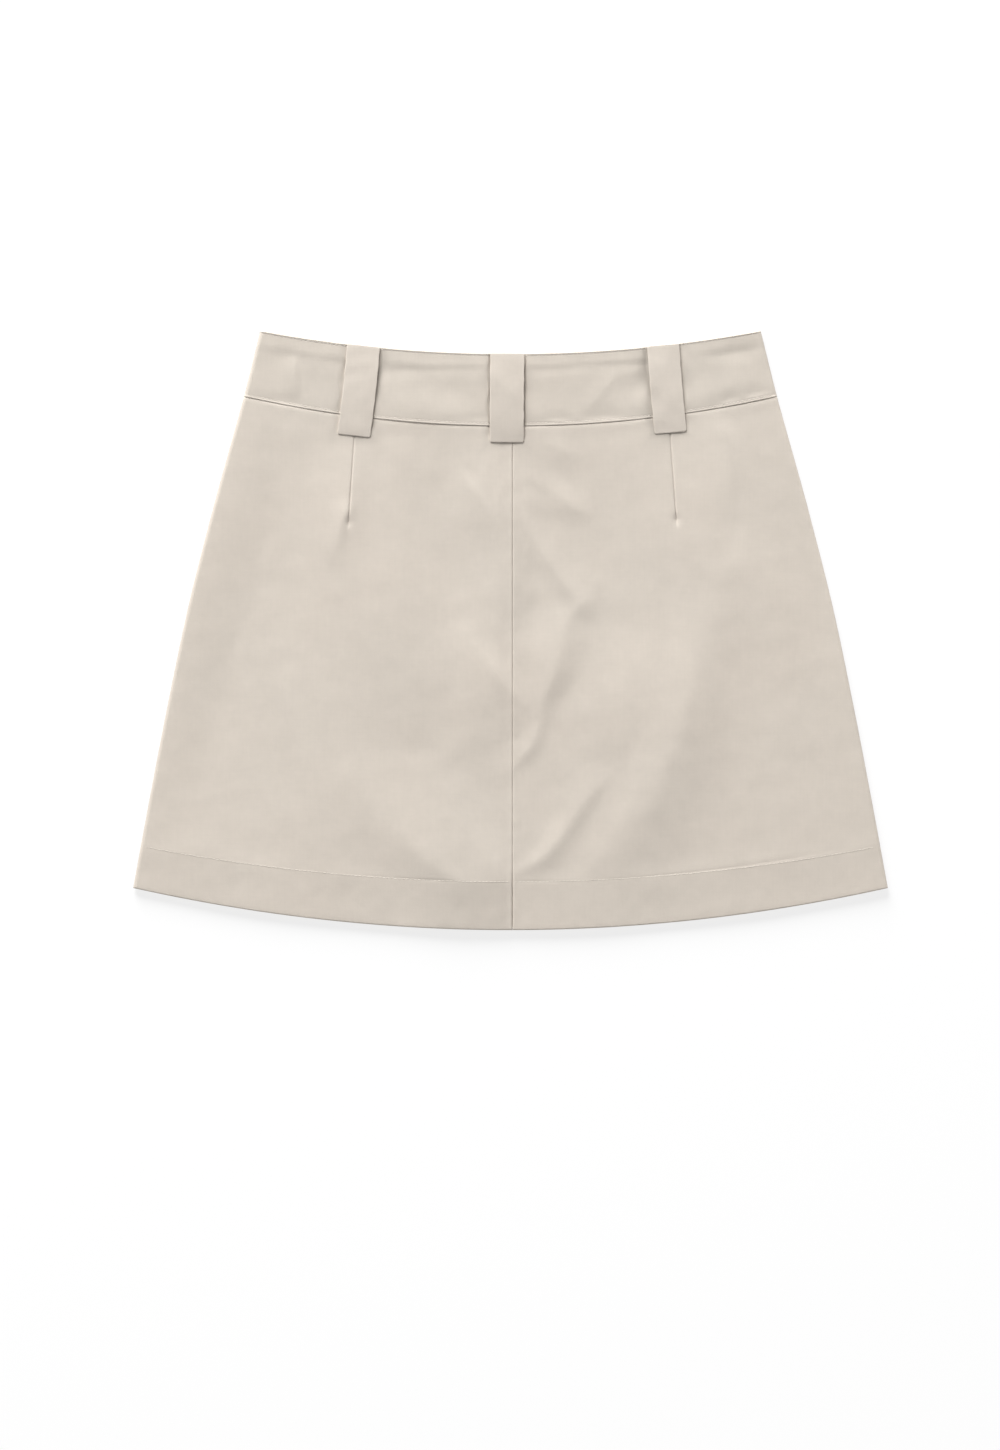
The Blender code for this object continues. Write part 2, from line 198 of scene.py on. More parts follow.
def stretch(place, factors):
    """A place whose x, y and z are multiplied by three factors."""
    return place.node("ShaderNodeVectorMath", settings={"operation": "MULTIPLY"},
                      values={0: place, 1: factors})


def mix(share, first, second):
    """A colour between two colours."""
    return share.node("ShaderNodeMix", 2, {"data_type": "RGBA"}, {0: share, 6: first, 7: second})


def bump(height, strength, distance):
    """A normal bent by a height between 0 and 1, which stands for a distance in metres."""
    return height.node("ShaderNodeBump", "Normal", values={"Height": height, "Strength": strength,
                                                           "Distance": distance})


# %% The room's light and the table's paint
world = bpy.data.worlds.new("studio")
bpy.context.scene.world = world
world.use_nodes = True
room = Wire(world.node_tree)
direction = room.node("ShaderNodeTexCoord", "Generated")
height = room.node("ShaderNodeSeparateXYZ", "Z", values={"Vector": direction})
overhead = room.node("ShaderNodeMapRange", settings={"interpolation_type": "SMOOTHSTEP"},
                     values={"Value": height, "From Min": WALL_TOP, "From Max": ROOM_START,
                             "To Min": WALL_STRENGTH, "To Max": ROOM_STRENGTH})
overhead.into(world.node_tree.nodes["Background"].inputs["Strength"])
world.node_tree.nodes["Background"].inputs["Color"].default_value = (1.0, 1.0, 1.0, 1.0)

light_table, _, _ = new_material("light_table", {
    "Base Color": (0.24, 0.24, 0.24, 1.0), "Emission Color": (1.0, 1.0, 1.0, 1.0),
    "Emission Strength": 0.74, "Roughness": 0.9, "Specular IOR Level": 0.1})
floor.data.materials.append(light_table)

# %% [markdown]
# ## Drill: the cloth's surface
#
# Drill is a stout twill: each weft thread passes over several warp threads and steps one
# thread along, which leaves fine ridges that climb across the cloth. The ridges are a sine
# across the diagonal, broken up along their length by the threads' own rhythm. Uneven yarn
# leaves faint streaks along both thread directions, and washing leaves soft clouds and a
# mottle about as wide as a finger. The pattern reads an attribute named grain, which is laid
# out along the cloth in metres, so that it turns with the side folds and runs true down each
# panel.

# %% Cotton drill
WALE = 0.00062                       # metres from ridge to ridge
YARN = 0.00036
TWILL_ANGLE = math.radians(62.0)
WEAVE_RELIEF = 0.00005
# how much each pattern changes the cloth's brightness
WEAVE_WEIGHT, WEFT_WEIGHT, WARP_WEIGHT, TONE_WEIGHT = 0.03, 0.035, 0.03, 0.06
CLOUDS = ((0.05, 260.0), (0.09, 75.0), (0.07, 16.0))     # weight and scale of each noise
WEFT_STREAKS = ((0.06, 1.0, 1.0), 900.0)                 # stretch and scale
WARP_STREAKS = ((1.0, 0.05, 1.0), 800.0)
WOBBLE_SCALE, WALE_WOBBLE, THREAD_WOBBLE = 350.0, 0.5, 0.8
HUE_SCALE = 9.0


def drill(name, colour, warm_colour):
    """Beige cotton drill. The attribute named tone lightens or darkens it: wear on the edges, and
    painted light and shade on the side folds, over the hem and beside the belt loops.
    """
    material, shader, wire = new_material(name, {
        "Specular IOR Level": 0.25, "Sheen Weight": 0.12, "Sheen Roughness": 0.5})
    grain = wire.node("ShaderNodeAttribute", "Vector", {"attribute_name": "grain"})
    tone = wire.node("ShaderNodeAttribute", "Fac", {"attribute_name": "tone"})
    x, y = split_xy(grain)
    wobble = noise(grain, WOBBLE_SCALE)
    across = x * (math.sin(TWILL_ANGLE) / WALE) - y * (math.cos(TWILL_ANGLE) / WALE)
    along = x * (math.cos(TWILL_ANGLE) / YARN) + y * (math.sin(TWILL_ANGLE) / YARN)
    wale = ((across + wobble * WALE_WOBBLE) * (2.0 * math.pi)).sine()
    thread = ((along + wobble * THREAD_WOBBLE) * (2.0 * math.pi)).sine()
    weave = wale * 0.5 + wale * thread * 0.25 + 0.5
    weft, warp = (noise(stretch(grain, factors), scale, dimensions="2D")
                  for factors, scale in (WEFT_STREAKS, WARP_STREAKS))
    brightness = weave * WEAVE_WEIGHT + weft * WEFT_WEIGHT + warp * WARP_WEIGHT
    for weight, scale in CLOUDS:
        brightness = brightness + noise(grain, scale) * weight
    middle = (WEAVE_WEIGHT + WEFT_WEIGHT + WARP_WEIGHT + sum(weight for weight, _ in CLOUDS)) / 2
    brightness = brightness + tone * TONE_WEIGHT + (1.0 - middle)
    hue = mix(noise(grain, HUE_SCALE), colour, warm_colour)
    shade = grain.node("ShaderNodeVectorMath", settings={"operation": "SCALE"},
                       values={0: hue, "Scale": brightness})
    shade.into(shader.inputs["Base Color"])
    (weft * 0.1 + 0.82).into(shader.inputs["Roughness"])
    bump(weave + weft * 0.6 + warp * 0.6, 0.6, WEAVE_RELIEF).into(shader.inputs["Normal"])
    return material


# The waistband's drill is the same cloth painted a shade darker, as painted shade, and the belt
# loops' drill is painted a shade lighter, as painted light.
body_drill = drill("body_drill", (0.584, 0.533, 0.470, 1.0), (0.596, 0.531, 0.464, 1.0))
band_drill_painted_shade = drill("band_drill_painted_shade", (0.574, 0.524, 0.462, 1.0), (0.584, 0.523, 0.456, 1.0))
loop_drill = drill("loop_drill", (0.596, 0.541, 0.478, 1.0), (0.604, 0.541, 0.474, 1.0))
print("wales per cm:", round(0.01 / WALE, 1))

# %% [markdown]
# ## The cut
#
# A flat skirt is described row by row. A row is a line of the pattern that runs across it,
# named by its drop below the top corners. Its half width follows the side seam, and its
# middle hangs lower than its ends by the sag. The side seam bends over the hip and then
# straightens. These are the sizes that the solids were built from, but for the waistband's
# seam, whose middle hangs a little lower here.

# %% Outline of the skirt
waist_side_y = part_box("waistband_back")[1].y / MM
hem_low_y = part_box("back_left")[0].y / MM
centre_back_x = (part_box("back_left")[1].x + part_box("back_right")[0].x) / 2 / MM
HALF_WIDTH = ((0.0, 170.0), (45.0, 181.2), (84.0, 192.0), (118.0, 201.4), (186.0, 218.6),
              (254.0, 232.9), (322.0, 246.0), (378.6, 256.4))       # drop, half width
BACK_SAG = ((0.0, 15.6), (45.0, 20.2), (378.6, 28.6))               # drop, sag
FRONT_SAG = ((0.0, 27.6), (45.0, 31.3), (378.6, 26.6))
BAND_DROP = 45.0
SKIRT_DROP = waist_side_y - hem_low_y - BACK_SAG[-1][1]
HEM_DEPTH = 32.0
HEM_LINE = SKIRT_DROP - HEM_DEPTH
HEM_NARROWING = 3.5                  # the turned-up hem is this much shallower at the sides
NARROWING_START = 150.0              # drop from which the rows lead up to that


def read_smooth(table, at):
    """Read a table with a smooth cubic through its rows."""
    xs, ys = np.array(table).T
    at = np.clip(at, xs[0], xs[-1])
    slopes = np.empty_like(ys)
    slopes[1:-1] = (ys[2:] - ys[:-2]) / (xs[2:] - xs[:-2])
    slopes[0] = (ys[1] - ys[0]) / (xs[1] - xs[0])
    slopes[-1] = (ys[-1] - ys[-2]) / (xs[-1] - xs[-2])
    i = np.clip(np.searchsorted(xs, at) - 1, 0, len(xs) - 2)
    span = xs[i + 1] - xs[i]
    t = (at - xs[i]) / span
    rest = 1.0 - t
    return (ys[i] * (1.0 + 2.0 * t) * rest ** 2 + slopes[i] * span * t * rest ** 2
            + ys[i + 1] * (3.0 - 2.0 * t) * t ** 2 - slopes[i + 1] * span * t ** 2 * rest)


def read_straight(table, at):
    xs, ys = np.array(table).T
    return np.interp(at, xs, ys)


def half_width(drop):
    return read_smooth(HALF_WIDTH, drop)


def ease(low, high, value):
    """0 below low, 1 above high, and a smooth step between."""
    t = np.clip((value - low) / (high - low), 0.0, 1.0)
    return t * t * (3.0 - 2.0 * t)


def highest(*fields):
    """The largest of several fields at each point."""
    return functools.reduce(np.maximum, fields)


def hump(distance, spread):
    """1 at no distance, and a soft fall to 0 on both sides over about twice the spread."""
    return np.exp(-(distance / spread) ** 2)


def ridge(form, distance):
    """A ridge, or a ditch if its height is negative. Its form is a height and a spread."""
    height, spread = form
    return height * hump(distance, spread)


def side_droop(row):
    """How much lower than its name a row lies at the sides. It is largest at the hem line."""
    return HEM_NARROWING * (ease(NARROWING_START, HEM_LINE, row) - ease(HEM_LINE, SKIRT_DROP, row))


def row_reach(row):
    """Half width of a row where it meets the side edge."""
    return half_width(row + side_droop(row))


def row_place(x, row, sag):
    """Y and drop of a point of a row."""
    share = x / row_reach(row)
    drop = row + side_droop(row) * share ** 2
    return waist_side_y - drop - read_straight(sag, drop) * (1.0 - share ** 2), drop


print("skirt drop:", round(float(SKIRT_DROP), 1), "centre-back seam at x", round(centre_back_x, 2))

# %% [markdown]
# ## Folds placed one by one
#
# Cloth simulation could crumple the skirt, but a garment that was pressed and smoothed by
# hand has a few long, soft, deliberate-looking folds, and those are easier to place than to
# provoke. Each fold is a crest line that is walked from the waist towards the hem. At every
# point it has a height and the width of its west and east flanks, so one flank can be steep
# and the other gentle. A negative height makes a trough. Drag lines fan out from the
# centre-back seam towards the hem, and shallow troughs run inside each side edge.

# %% The fold tool
FLANK_FOOT = 0.18                    # how softly a flank meets the cloth, in flank widths
CREST_STEP = 2.5
CREST_BLEND = 0.15                   # how much of the crest a point farther off it blends
CREASE_REACH = 2.2                   # flank widths beyond which a fold isn't felt


def follow_crest(path):
    """Points, directions, heights and flank widths along a smooth line through the path."""
    path = np.array(path, dtype=float)
    run = np.concatenate([[0.0], np.cumsum(np.hypot(*np.diff(path[:, :2], axis=0).T))])
    at = np.linspace(0.0, run[-1], max(3, int(run[-1] / CREST_STEP)))
    columns = [read_smooth(list(zip(run, column)), at) for column in path.T]
    slopes = np.gradient(np.stack(columns[:2]), at, axis=1)
    slopes /= np.hypot(*slopes)
    return at, columns, slopes


def crease_field(x, y, creases):
    """Sum of ridges and troughs whose flanks are straight slopes with soft crest and foot."""
    total = np.zeros_like(x)
    for crest_softness, path in creases:
        at, (line_x, line_y, height, west, east), (dx, dy) = follow_crest(path)
        margin = CREASE_REACH * max(west.max(), east.max())
        near = ((x > line_x.min() - margin) & (x < line_x.max() + margin)
                & (y > line_y.min() - margin) & (y < line_y.max() + margin))
        px, py = x[near][:, None] - line_x, y[near][:, None] - line_y
        gap = px ** 2 + py ** 2
        least = gap.min(axis=1, keepdims=True)
        share = np.exp((least - gap) / (2.0 * (CREST_STEP ** 2 + CREST_BLEND * least)))
        share /= share.sum(axis=1, keepdims=True)
        along = (share * (at + px * dx + py * dy)).sum(axis=1)
        across = (share * (py * dx - px * dy)).sum(axis=1)
        width = np.where(across > 0.0, np.interp(along, at, east), np.interp(along, at, west))
        slant = np.sqrt((across / width) ** 2 + crest_softness ** 2) - crest_softness
        flank = FLANK_FOOT * np.log1p(np.exp((1.0 - slant) / FLANK_FOOT))
        total[near] += np.interp(along, at, height) * flank
    return total


def swell_field(x, y, swells):
    """Sum of broad soft humps and hollows."""
    return sum(height * hump(x - mid_x, radius_x) * hump(y - mid_y, radius_y)
               for mid_x, mid_y, height, radius_x, radius_y in swells)


def soft_waves(x, y, size, seed, count=9):
    """Smooth unevenness of about that wavelength: a few crossing waves from a fixed seed."""
    rng = np.random.default_rng(seed)
    total = np.zeros_like(x)
    for _ in range(count):
        turn, phase = rng.uniform(0.0, 2.0 * math.pi, 2)
        pitch = size * rng.uniform(0.7, 1.5)
        total = total + np.sin((x * math.cos(turn) + y * math.sin(turn)) * 2.0 * math.pi / pitch
                               + phase)
    return total / math.sqrt(count)


def unevenness(x, y, waves):
    """Sum of soft waves, each given as a height, a wavelength and a seed."""
    return sum(height * soft_waves(x, y, size, seed) for height, size, seed in waves)


# %% Folds of the back panels
# Each is a crest softness and its path of (x, y, height, west width, east width).
BODY_CREASES = (
    # the long drag line right of the seam, from the hip down to the seam
    (0.06, ((62, 36, 0, 18, 9), (52, 22, 0.6, 22, 12), (39, 7, 1.5, 32, 17),
            (34, -14, 1.9, 36, 16), (29, -32, 1.9, 28, 12), (23, -47, 1.2, 14, 10),
            (20, -62, 0.8, 9, 8), (16, -76, 0.8, 10, 7), (9, -86, 0.6, 9, 6), (2, -96, 0, 8, 5))),
    # its upper arm, from the seam out to the hip
    (0.12, ((5, 92, 0, 8, 10), (14, 66, 0.8, 9, 12), (30, 40, 1.1, 9, 12), (47, 18, 0.6, 8, 10),
            (56, 8, 0, 6, 8))),
    # the valley below that arm
    (0.20, ((-10, 4, 0, 14, 8), (5, 8, -0.4, 18, 12), (30, 16, -0.5, 22, 12), (50, 22, 0, 12, 8))),
    # the light slope right of the drag line
    (0.30, ((79, 2, 0, 24, 30), (77, -24, 0.8, 26, 34), (72, -51, 1.2, 26, 36),
            (60, -91, 0, 20, 30))),
    # the sharp fold above the hem
    (0.05, ((73, -89, 0, 12, 6), (52, -115, 0.7, 17, 7.5), (34, -141, 1.1, 12, 9),
            (24, -153, 1.1, 10, 10), (10, -162, 0.6, 7, 9), (0, -166, 0, 6, 6))),
    # the broad roll on the right, its near slope
    (0.18, ((155, 56, 0, 14, 14), (134, 15, 0.3, 18, 20), (124, -27, 1.1, 20, 24),
            (119, -56, 1.4, 20, 26), (107, -92, 1.1, 20, 28), (90, -129, 0.5, 16, 26),
            (60, -171, 0, 12, 14))),
    # and its far slope
    (0.30, ((162, 68, 0, 50, 24), (145, 34, 0.9, 60, 26), (129, -14, 1.4, 64, 30),
            (113, -70, 1.8, 66, 33), (92, -122, 1.5, 52, 31), (76, -149, 0.9, 36, 26),
            (57, -172, 0, 26, 20))),
    # the light strip between the two folds
    (0.15, ((107, -73, 0, 14, 26), (89, -107, 0.5, 16, 30), (58, -158, 0.6, 13, 23),
            (42, -181, 0, 10, 16))),
    # the roll on the left of the seam
    (0.20, ((-117, -83, 0, 30, 24), (-91, -117, 1.1, 26, 37), (-59, -153, 2.5, 19, 36),
            (-40, -167, 2.6, 15, 32), (-19, -181, 2.1, 11, 26), (0, -194, 0, 8, 14))),
    # a second crest on it
    (0.15, ((-54, -84, 0, 14, 15), (-39, -117, 0.5, 20, 15), (-25, -141, 0.8, 18, 15),
            (-12, -161, 1.0, 14, 13), (2, -182, 0, 8, 8))),
    # the dent between it and the seam
    (0.30, ((-28, -76, 0, 12, 12), (-13, -112, -0.3, 12, 11), (-4, -142, 0, 8, 8))),
    # the trough inside the left edge
    (0.40, ((-151, 136, 0, 20, 50), (-157, 92, -1.3, 21, 50), (-172, 32, -1.8, 22, 53),
            (-185, -13, -1.8, 21, 54), (-206, -92, -1.3, 18, 50), (-219, -149, 0, 12, 40))),
    # the trough inside the right edge
    (0.40, ((197, 109, 0, 30, 16), (211, 38, -0.5, 35, 16), (232, -88, 0, 30, 14))),
    # the ridge beside the right dart
    (0.08, ((138, 150, 0, 20, 5), (147, 130, 0.8, 26, 7), (149, 100, 0.7, 30, 12),
            (144, 68, 0, 24, 12))),
    # the flank left of the left dart
    (0.30, ((-105, 130, 0, 24, 10), (-111, 90, 1.1, 29, 12), (-120, 42, 0.6, 30, 14),
            (-131, -7, 0, 20, 12))),
    # the flank left of the seam
    (0.30, ((-7, 125, 0, 20, 12), (-3, 80, 1.6, 22, 13), (-1, 34, 1.8, 24, 13),
            (0, -14, 0.4, 20, 10), (0, -50, 0, 8, 8))),
    # pulls beside the seam
    (0.12, ((12, 132, 0, 15, 9), (32, 124, 0.5, 15, 9), (50, 112, 0, 10, 8))),
    (0.12, ((6, 108, 0, 10, 9), (24, 97, 0.5, 13, 9), (42, 84, 0.8, 12, 10), (60, 74, 0, 10, 9))),
    (0.12, ((4, 96, 0, 6, 6), (14, 88, 0.3, 7, 6), (26, 78, 0, 7, 6))),
    # the light spot left of the seam
    (0.25, ((-49, 93, 0, 26, 26), (-24, 80, 0.8, 30, 38), (0, 81, 0, 20, 20))),
    # its sharp edge
    (0.08, ((-38, 112, 0, 10, 5), (-28, 99, 0.6, 13, 5), (-17, 83, 0.5, 15, 6),
            (-7, 64, 0, 10, 6))),
    # the lower left edge of the light patch where the drag line meets the seam
    (0.06, ((-38, 8, 0, 40, 10), (-26, -9, 1.1, 50, 12), (-9, -31, 1.8, 52, 13),
            (5, -47, 1.0, 60, 11), (19, -60, 0, 20, 8))),
    # the end of the left dart
    (0.15, ((-108, 90, 0, 8, 4), (-112, 78, 0.8, 8, 5), (-118, 60, 0.5, 9, 6),
            (-124, 44, 0, 8, 6))),
    # the long soft roll between the left dart and the seam
    (0.40, ((-76, 132, 0, 50, 20), (-77, 90, 1.1, 50, 22), (-75, 30, 1.6, 50, 23),
            (-71, -20, 1.2, 50, 26), (-68, -81, 0, 40, 22))),
    # the crease inside the right edge
    (0.30, ((159, 82, 0, 22, 12), (182, 17, 0.9, 28, 15), (197, -47, 0, 24, 16))),
)
# Each is a middle, a height and two radii.
BODY_SWELLS = (
    # slack at the right dart's point, and two soft hollows left of the seam
    (120, 75, 0.8, 40, 40), (-60, 90, -0.9, 26, 44), (-28, 50, -0.7, 36, 36),
)

# %% Heights of the back
BODY_TOP, BAND_TOP = 4.4, 5.0
CLOTH_WALL, HEM_WALL, BAND_WALL = 1.2, 1.8, 1.8
CLOSURE_LIFT, CLOSURE_Y, CLOSURE_SPREAD = 1.3, 158.0, (66.0, 62.0)
DART_POINTS = {-1: (-109.8, 74.4), 1: (112.8, 75.8)}
SEAM_ALLOWANCE = 10.0
BODY_UNEVENNESS = ((0.05, 62.0, 3), (0.030, 24.0, 5), (0.012, 11.0, 8))
HEM_RELIEF = ((-8.0, 0.0), (0.0, 0.10), (4.0, 0.05), (16.0, -0.25), (24.0, -0.34), (32.0, -0.36))
HEM_HOLD = 0.6                       # share of each fold that the stiff hem takes out at its edge
HEM_LIFT, HEM_LIFT_DEPTH = 0.30, 40.0    # how far the hem lifts, and where that starts above it
HEM_WAVES = ((0.16, 31.0, 0.8), (0.14, 17.0, -1.1))      # height, wavelength / 2 pi, phase
DIMPLE_DEPTH, DIMPLE_SPREAD, DIMPLE_BELOW = 0.8, (1.9, 3.0), 1.0
ROPING = 0.02
# height and spread
ALLOWANCE_RIDGE, SEAM_PUCKER, HEM_CHANNEL = (0.08, 1.6), (0.05, 3.5), (-0.045, 0.8)
BAND_SWELL, BAND_DITCH = (0.12, 4.0), (-0.14, 0.6)

# Twist is how far a loop's east side tips up, bow is how far its middle bends sideways, rise
# scales how far it stands off, bed is the depth and width of the dip beside it, and the last
# pair is how much painted shade darkens the cloth on its west and east side.
Loop = namedtuple("Loop", "node top_x bottom_x bottom_y width twist bow rise bed shelter")
LOOPS = (
    Loop("belt_loop_left", -99.6, -106.4, 132.0, 22.4, 0.25, 0.5, 0.75, (0.5, 2.2), (1.2, 2.4)),
    Loop("belt_loop_centre", -2.0, -2.4, 127.4, 23.1, -0.15, -0.2, 1.0, (0.8, 1.3), (1.8, 1.2)),
    Loop("belt_loop_right", 103.7, 108.8, 134.0, 21.8, -0.35, -0.3, 0.75, (0.5, 2.6), (4.6, 1.4)),
)
LOOP_TOP_Y = 190.0                   # about where the loops start
LOOP_BED_END = 0.15                  # share of a loop's bed that is left below its end
# how far the painted shade beside a belt loop reaches
PAINTED_SHADE_REACH = 4.4


def closure_lift(x, y):
    """The zip below lifts the cloth between the waist and the hips."""
    return CLOSURE_LIFT * hump(x, CLOSURE_SPREAD[0]) * hump(y - CLOSURE_Y, CLOSURE_SPREAD[1])


def hem_wave(x, drop):
    """Both layers of the hem lift off the table a little here and there."""
    wave = sum(height * np.sin(x / size + phase) for height, size, phase in HEM_WAVES)
    return (HEM_LIFT + wave) * ease(SKIRT_DROP - HEM_LIFT_DEPTH, SKIRT_DROP, drop)


def from_loop(loop, x, y):
    """Distance outside a belt loop, and x from its middle line."""
    share = (LOOP_TOP_Y - y) / (LOOP_TOP_Y - loop.bottom_y)
    aside = x - loop.top_x - share * (loop.bottom_x - loop.top_x)
    return np.maximum(highest(np.abs(aside) - loop.width / 2, loop.bottom_y - y), 0.0), aside


def loop_bed(x, y):
    """Where a belt loop is sewn down, the cloth is drawn in along its sides and end."""
    total = np.zeros_like(x)
    for loop in LOOPS:
        depth, width = loop.bed
        outside, _ = from_loop(loop, x, y)
        width = width * (1.0 + 0.4 * np.sin(y / 3.7 + x / 9.0))
        share = LOOP_BED_END + (1.0 - LOOP_BED_END) * ease(1.0, 7.0, y - loop.bottom_y)
        total = total - depth * share * hump(outside, width)
    return total


def paint_loop_shade(x, y):
    """Painted shade that darkens the cloth close beside the belt loops."""
    total = np.zeros_like(x)
    for loop in LOOPS:
        outside, aside = from_loop(loop, x, y)
        reach = PAINTED_SHADE_REACH * (1.0 + 0.35 * np.sin(y / 4.1 + loop.top_x))
        total = total - np.where(aside < 0.0, *loop.shelter) * hump(outside, reach)
    return total


def body_height(x, y, drop):
    """Upper face of the back panels."""
    from_seam = np.abs(x - centre_back_x)
    seam = (ridge(ALLOWANCE_RIDGE, from_seam - SEAM_ALLOWANCE)
            + ridge(SEAM_PUCKER, from_seam) * np.sin(y / 2.3 + 2.0 * np.sin(y / 11.0)))
    dimples = sum(-DIMPLE_DEPTH * hump(x - point_x, DIMPLE_SPREAD[0])
                  * hump(y - point_y + DIMPLE_BELOW, DIMPLE_SPREAD[1])
                  for point_x, point_y in DART_POINTS.values())
    from_hem_line = drop - HEM_LINE
    pull = 1.0 + 0.8 * np.sin(x / 19.0 + 2.0 * np.sin(x / 47.0))
    slant = (x + 0.8 * from_hem_line) / 2.6
    roping = ROPING * np.sin(slant + 1.5 * np.sin(x / 37.0)) * ease(2.0, 14.0, from_hem_line)
    hem = ridge(HEM_CHANNEL, from_hem_line) * pull + read_smooth(HEM_RELIEF, from_hem_line) + roping
    hem_line_y, _ = row_place(x, HEM_LINE + 0.0 * x, BACK_SAG)
    above_hem = np.maximum(y, hem_line_y)
    fade = 1.0 - HEM_HOLD * np.clip(from_hem_line / HEM_DEPTH, 0.0, 1.0)
    folds = (crease_field(x, above_hem, BODY_CREASES)
             + swell_field(x, above_hem, BODY_SWELLS)) * fade
    below_band = (ridge(BAND_SWELL, np.maximum(drop - BAND_DROP - 1.5, 0.0))
                  + ridge(BAND_DITCH, drop - BAND_DROP))
    return (BODY_TOP + closure_lift(x, y) + folds + unevenness(x, y, BODY_UNEVENNESS) + seam
            + dimples + below_band + hem + hem_wave(x, drop) + loop_bed(x, y))


print("folds of the back panels:", len(BODY_CREASES))

# %% Folds and heights of the back waistband
TOP_STITCH_DROP, SEAM_STITCH_DROP = 1.5, BAND_DROP - 1.9
STITCH_PITCH = 2.7
BAND_RELIEF = ((0.0, 0.22), (0.9, 0.22), (2.3, 0.0), (8.5, 0.08), (13.0, -0.04), (25.0, -0.28),
               (38.0, -0.18), (41.5, -0.25), (45.0, -0.31))
BAND_CREASES = (
    # the ditch below the top edge, in stretches
    (0.15, ((-173, 189, 0, 8, 5), (-153, 186, -0.4, 8, 6), (-144, 185, -0.3, 8, 5),
            (-134, 184, -0.1, 7, 4), (-114, 181, -0.3, 7, 4), (-105, 180, 0, 7, 4))),
    (0.12, ((-96, 177, 0, 6, 5), (-80, 176, -0.4, 7, 6), (-70, 177, -0.4, 7, 3.4),
            (-60, 177, -0.25, 6, 2.2), (-21, 178, -0.2, 6, 1.8), (-7, 179, 0, 6, 2))),
    (0.12, ((6, 178, 0, 5, 2), (20, 177, -0.3, 5, 2.4), (38, 178, -0.25, 5, 2),
            (54, 179, 0, 5, 2))),
    (0.12, ((31, 181, 0, 5, 2), (60, 180, -0.25, 6, 2), (87, 181, -0.35, 6, 3),
            (99, 182, 0, 6, 3))),
    (0.15, ((117, 186, 0, 6, 4), (139, 187, -0.35, 6, 3.4), (155, 189, -0.7, 7, 6.5),
            (164, 191, -0.5, 7, 6), (172, 195, 0, 6, 5))),
    # a bright block on the left and its right edge
    (0.12, ((-146, 188, 0, 9, 2.5), (-146, 176, 0.6, 11, 3), (-145, 166, 0.5, 11, 3),
            (-144, 157, 0, 8, 3))),
    # the low line of the belly there
    (0.15, ((-176, 159, 0, 3, 5), (-158, 157, -0.15, 3, 5), (-148, 155, -0.2, 3, 6),
            (-139, 153, 0, 3, 3))),
    # a slanting slack place between the left and the middle loop
    (0.20, ((-74, 180, 0, 6, 5), (-50, 167, -0.25, 10, 8), (-37, 161, -0.3, 9, 10),
            (-14, 149, 0, 4, 6))),
    # the dents beside the outer belt loops
    (0.15, ((-87, 190, 0, 2, 3), (-87, 179, -0.7, 2.2, 5), (-89, 166, -0.4, 2, 4),
            (-90, 152, 0, 2, 3))),
    (0.15, ((91, 190, 0, 4, 1.8), (92, 179, -0.8, 6, 1.8), (94, 168, -0.9, 7, 1.8),
            (96, 154, 0, 4, 1.8))),
    # the slant between the middle and the right loop
    (0.10, ((77, 180, 0, 9, 6), (67, 168, 0.35, 9, 7), (58, 157, 0.3, 9, 8), (50, 148, 0, 8, 8))),
    # slack between the stitch rows: a hollow by the right loop, and bellies left of the middle
    # loop and right of the right one
    (0.30, ((84, 176, 0, 8, 8), (86, 166, -0.4, 8, 6), (84, 155, 0, 8, 5))),
    (0.30, ((-84, 162, 0, 6, 7), (-68, 155, 0.2, 9, 9), (-50, 149, 0.15, 8, 9),
            (-32, 146, 0, 6, 6))),
    (0.30, ((120, 157, 0, 8, 8), (138, 162, 0.3, 8, 10), (156, 168, 0.25, 8, 10),
            (172, 177, 0, 8, 6))),
    # marks above the seam
    (0.15, ((20, 144, 0, 2, 4), (34, 144, -0.25, 2, 5), (45, 143, 0, 2, 4))),
    (0.15, ((46, 144, 0, 2, 4), (63, 145, -0.3, 2, 8), (81, 146, 0, 2, 4))),
    (0.15, ((-33, 144, 0, 2, 4), (-20, 144, -0.3, 2, 8), (-7, 144, 0, 2, 6))),
    (0.15, ((140, 155, 0, 2, 4), (149, 157, -0.3, 2, 6), (158, 159, 0, 2, 4))),
    (0.15, ((157, 159, 0, 2, 4), (166, 161, -0.35, 2, 6), (177, 163, 0, 2, 4))),
)
BAND_UNEVENNESS = ((0.03, 34.0, 11), (0.012, 12.0, 14))
# height and spread
TOP_CHANNEL, SEAM_CHANNEL, SEAM_LIP = (-0.12, 0.5), (-0.08, 0.7), (0.06, 0.6)
TOP_PUCKER, LOWER_PUCKER = (0.10, 0.9), (0.04, 1.6)
SEAM_LIP_DROP = SEAM_STITCH_DROP + 1.2


def band_height(x, y, drop):
    """Upper face of the back waistband."""
    channels = (ridge(TOP_CHANNEL, drop - TOP_STITCH_DROP)
                + ridge(SEAM_CHANNEL, drop - SEAM_STITCH_DROP)
                + ridge(SEAM_LIP, drop - SEAM_LIP_DROP))
    pucker = np.sin(2.0 * math.pi * x / STITCH_PITCH) * (
        ridge(LOWER_PUCKER, drop - SEAM_STITCH_DROP) + ridge(TOP_PUCKER, drop - TOP_STITCH_DROP))
    return (BAND_TOP + closure_lift(x, y) + read_smooth(BAND_RELIEF, drop) + channels + pucker
            + crease_field(x, y, BAND_CREASES) + unevenness(x, y, BAND_UNEVENNESS)
            + loop_bed(x, y))


print("folds of the waistband:", len(BAND_CREASES))

# %% [markdown]
# ## From rows of points to a sheet of cloth
#
# A sheet is a grid with two faces. Its edges are rounded off like a folded or pressed edge:
# both faces bend towards each other near the rim. At the side the two faces carry on round a
# quarter turn to the side seam. Solidify could give the thickness, but a computed inner face
# can follow the hem's doubled wall and the side fold exactly.

